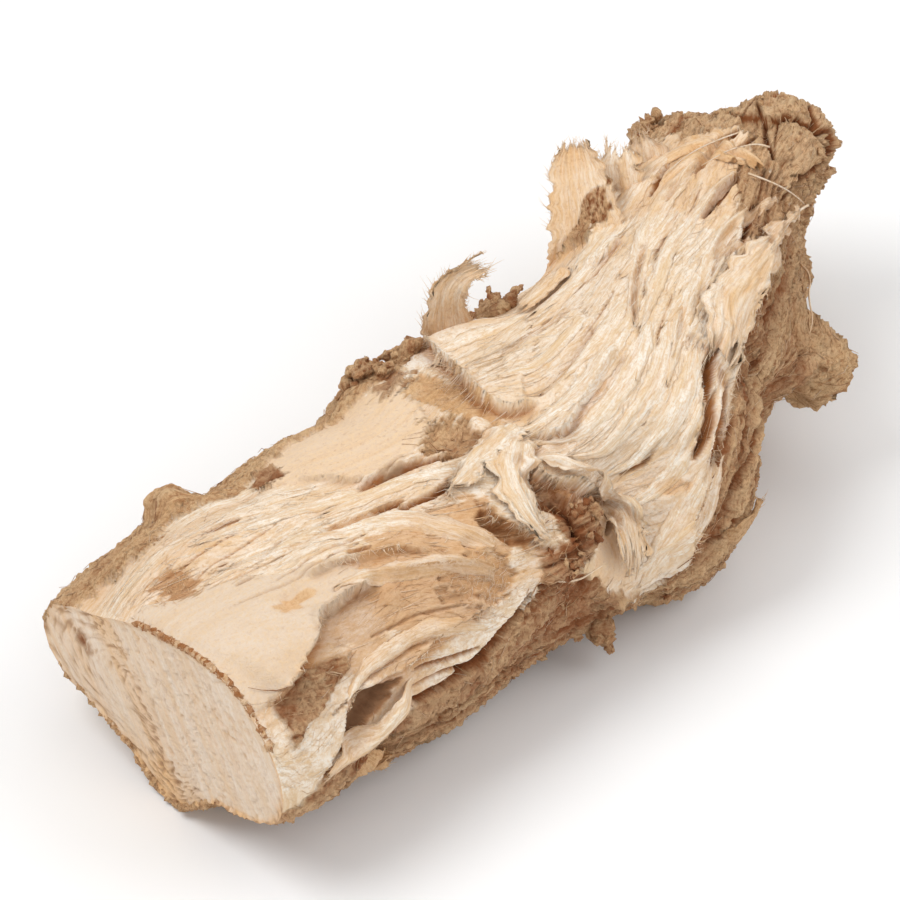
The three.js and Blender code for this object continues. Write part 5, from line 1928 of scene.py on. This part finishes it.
class RHIZOME_OT_stage(bpy.types.Operator):
    """Sets the floor, the lights and the camera"""

    bl_idname = "rhizome.stage"
    bl_label = "Stage"

    def execute(self, context):
        settings = context.scene.rhizome_stage
        length = float(CAD_HIGH[0] - CAD_LOW[0])
        centre = Vector(((CAD_LOW + CAD_HIGH) / 2).tolist())
        half = length * FLOOR_REACH
        mesh = bpy.data.meshes.new("floor")
        corners = [(-half, -half, 0), (half, -half, 0), (half, half, 0), (-half, half, 0)]
        mesh.from_pydata(corners, [], [(0, 1, 2, 3)])
        floor = bpy.data.objects.new("floor", mesh)
        paint = bpy.data.materials.new("floor")
        paint.use_nodes = True
        shader = paint.node_tree.nodes["Principled BSDF"]
        shader.inputs["Base Color"].default_value = settings.floor
        shader.inputs["Roughness"].default_value = 0.9
        mesh.materials.append(paint)
        context.collection.objects.link(floor)
        for name, (place, size, power) in LIGHTS.items():
            lamp = bpy.data.lights.new(name, "AREA")
            lamp.shape = "DISK"
            lamp.size = size * length * LIGHT_REACH
            spot = Vector(place) * length * LIGHT_REACH
            lamp.energy = power * WHITE_POWER * spot.length_squared
            light = bpy.data.objects.new(name, lamp)
            light.location = centre + spot
            light.rotation_euler = (-spot).to_track_quat("-Z", "Y").to_euler()
            context.collection.objects.link(light)
        world = bpy.data.worlds.new("studio")
        world.use_nodes = True
        background = world.node_tree.nodes["Background"]
        background.inputs["Color"].default_value = (1, 1, 1, 1)
        background.inputs["Strength"].default_value = settings.sky
        context.scene.world = world
        context.scene.view_settings.view_transform = "Standard"
        az, el = settings.azimuth, settings.elevation
        back = Vector((math.sin(az) * math.cos(el), -math.cos(az) * math.cos(el), math.sin(el)))
        camera_data = bpy.data.cameras.new("camera")
        camera_data.lens = settings.lens
        camera_data.sensor_width = SENSOR
        camera_data.clip_end = 100
        camera = bpy.data.objects.new("camera", camera_data)
        camera.location = Vector(CAMERA_AIM) * MM + back * (FRAME_WIDTH * MM) / SENSOR * settings.lens
        camera.rotation_euler = back.to_track_quat("Z", "Y").to_euler()
        context.collection.objects.link(camera)
        context.scene.camera = camera
        return {"FINISHED"}


class RHIZOME_PT_panel(bpy.types.Panel):
    """Lists the pieces of the rhizome"""

    bl_idname = "RHIZOME_PT_panel"
    bl_label = "Iris rhizome"
    bl_space_type = "VIEW_3D"
    bl_region_type = "UI"
    bl_category = "Iris rhizome"

    def draw(self, context):
        for operator in OPERATORS:
            self.layout.operator(operator.bl_idname)
        for name, settings in SETTINGS.items():
            for key in settings.__annotations__:
                self.layout.prop(getattr(context.scene, name), key)


OPERATORS = (
    RHIZOME_OT_trunk,
    RHIZOME_OT_sawn_face,
    RHIZOME_OT_torn_sheets,
    RHIZOME_OT_loose_fibres,
    RHIZOME_OT_bark_crumbs,
    RHIZOME_OT_stage,
)
SETTINGS = {"rhizome_sizes": RhizomeSizes, "rhizome_looks": RhizomeLooks, "rhizome_stage": StageSettings}
CLASSES = (*SETTINGS.values(), *OPERATORS, RHIZOME_PT_panel)


def register():
    for cls in CLASSES:
        bpy.utils.register_class(cls)
    for name, settings in SETTINGS.items():
        setattr(bpy.types.Scene, name, bpy.props.PointerProperty(type=settings))


def unregister():
    for name in SETTINGS:
        delattr(bpy.types.Scene, name)
    for cls in reversed(CLASSES):
        bpy.utils.unregister_class(cls)


def main():
    register()
    bpy.ops.rhizome.trunk()
    bpy.ops.rhizome.sawn_face()
    bpy.ops.rhizome.torn_sheets()
    bpy.ops.rhizome.loose_fibres()
    bpy.ops.rhizome.bark_crumbs()
    bpy.ops.rhizome.stage()


if __name__ == "__main__":
    main()
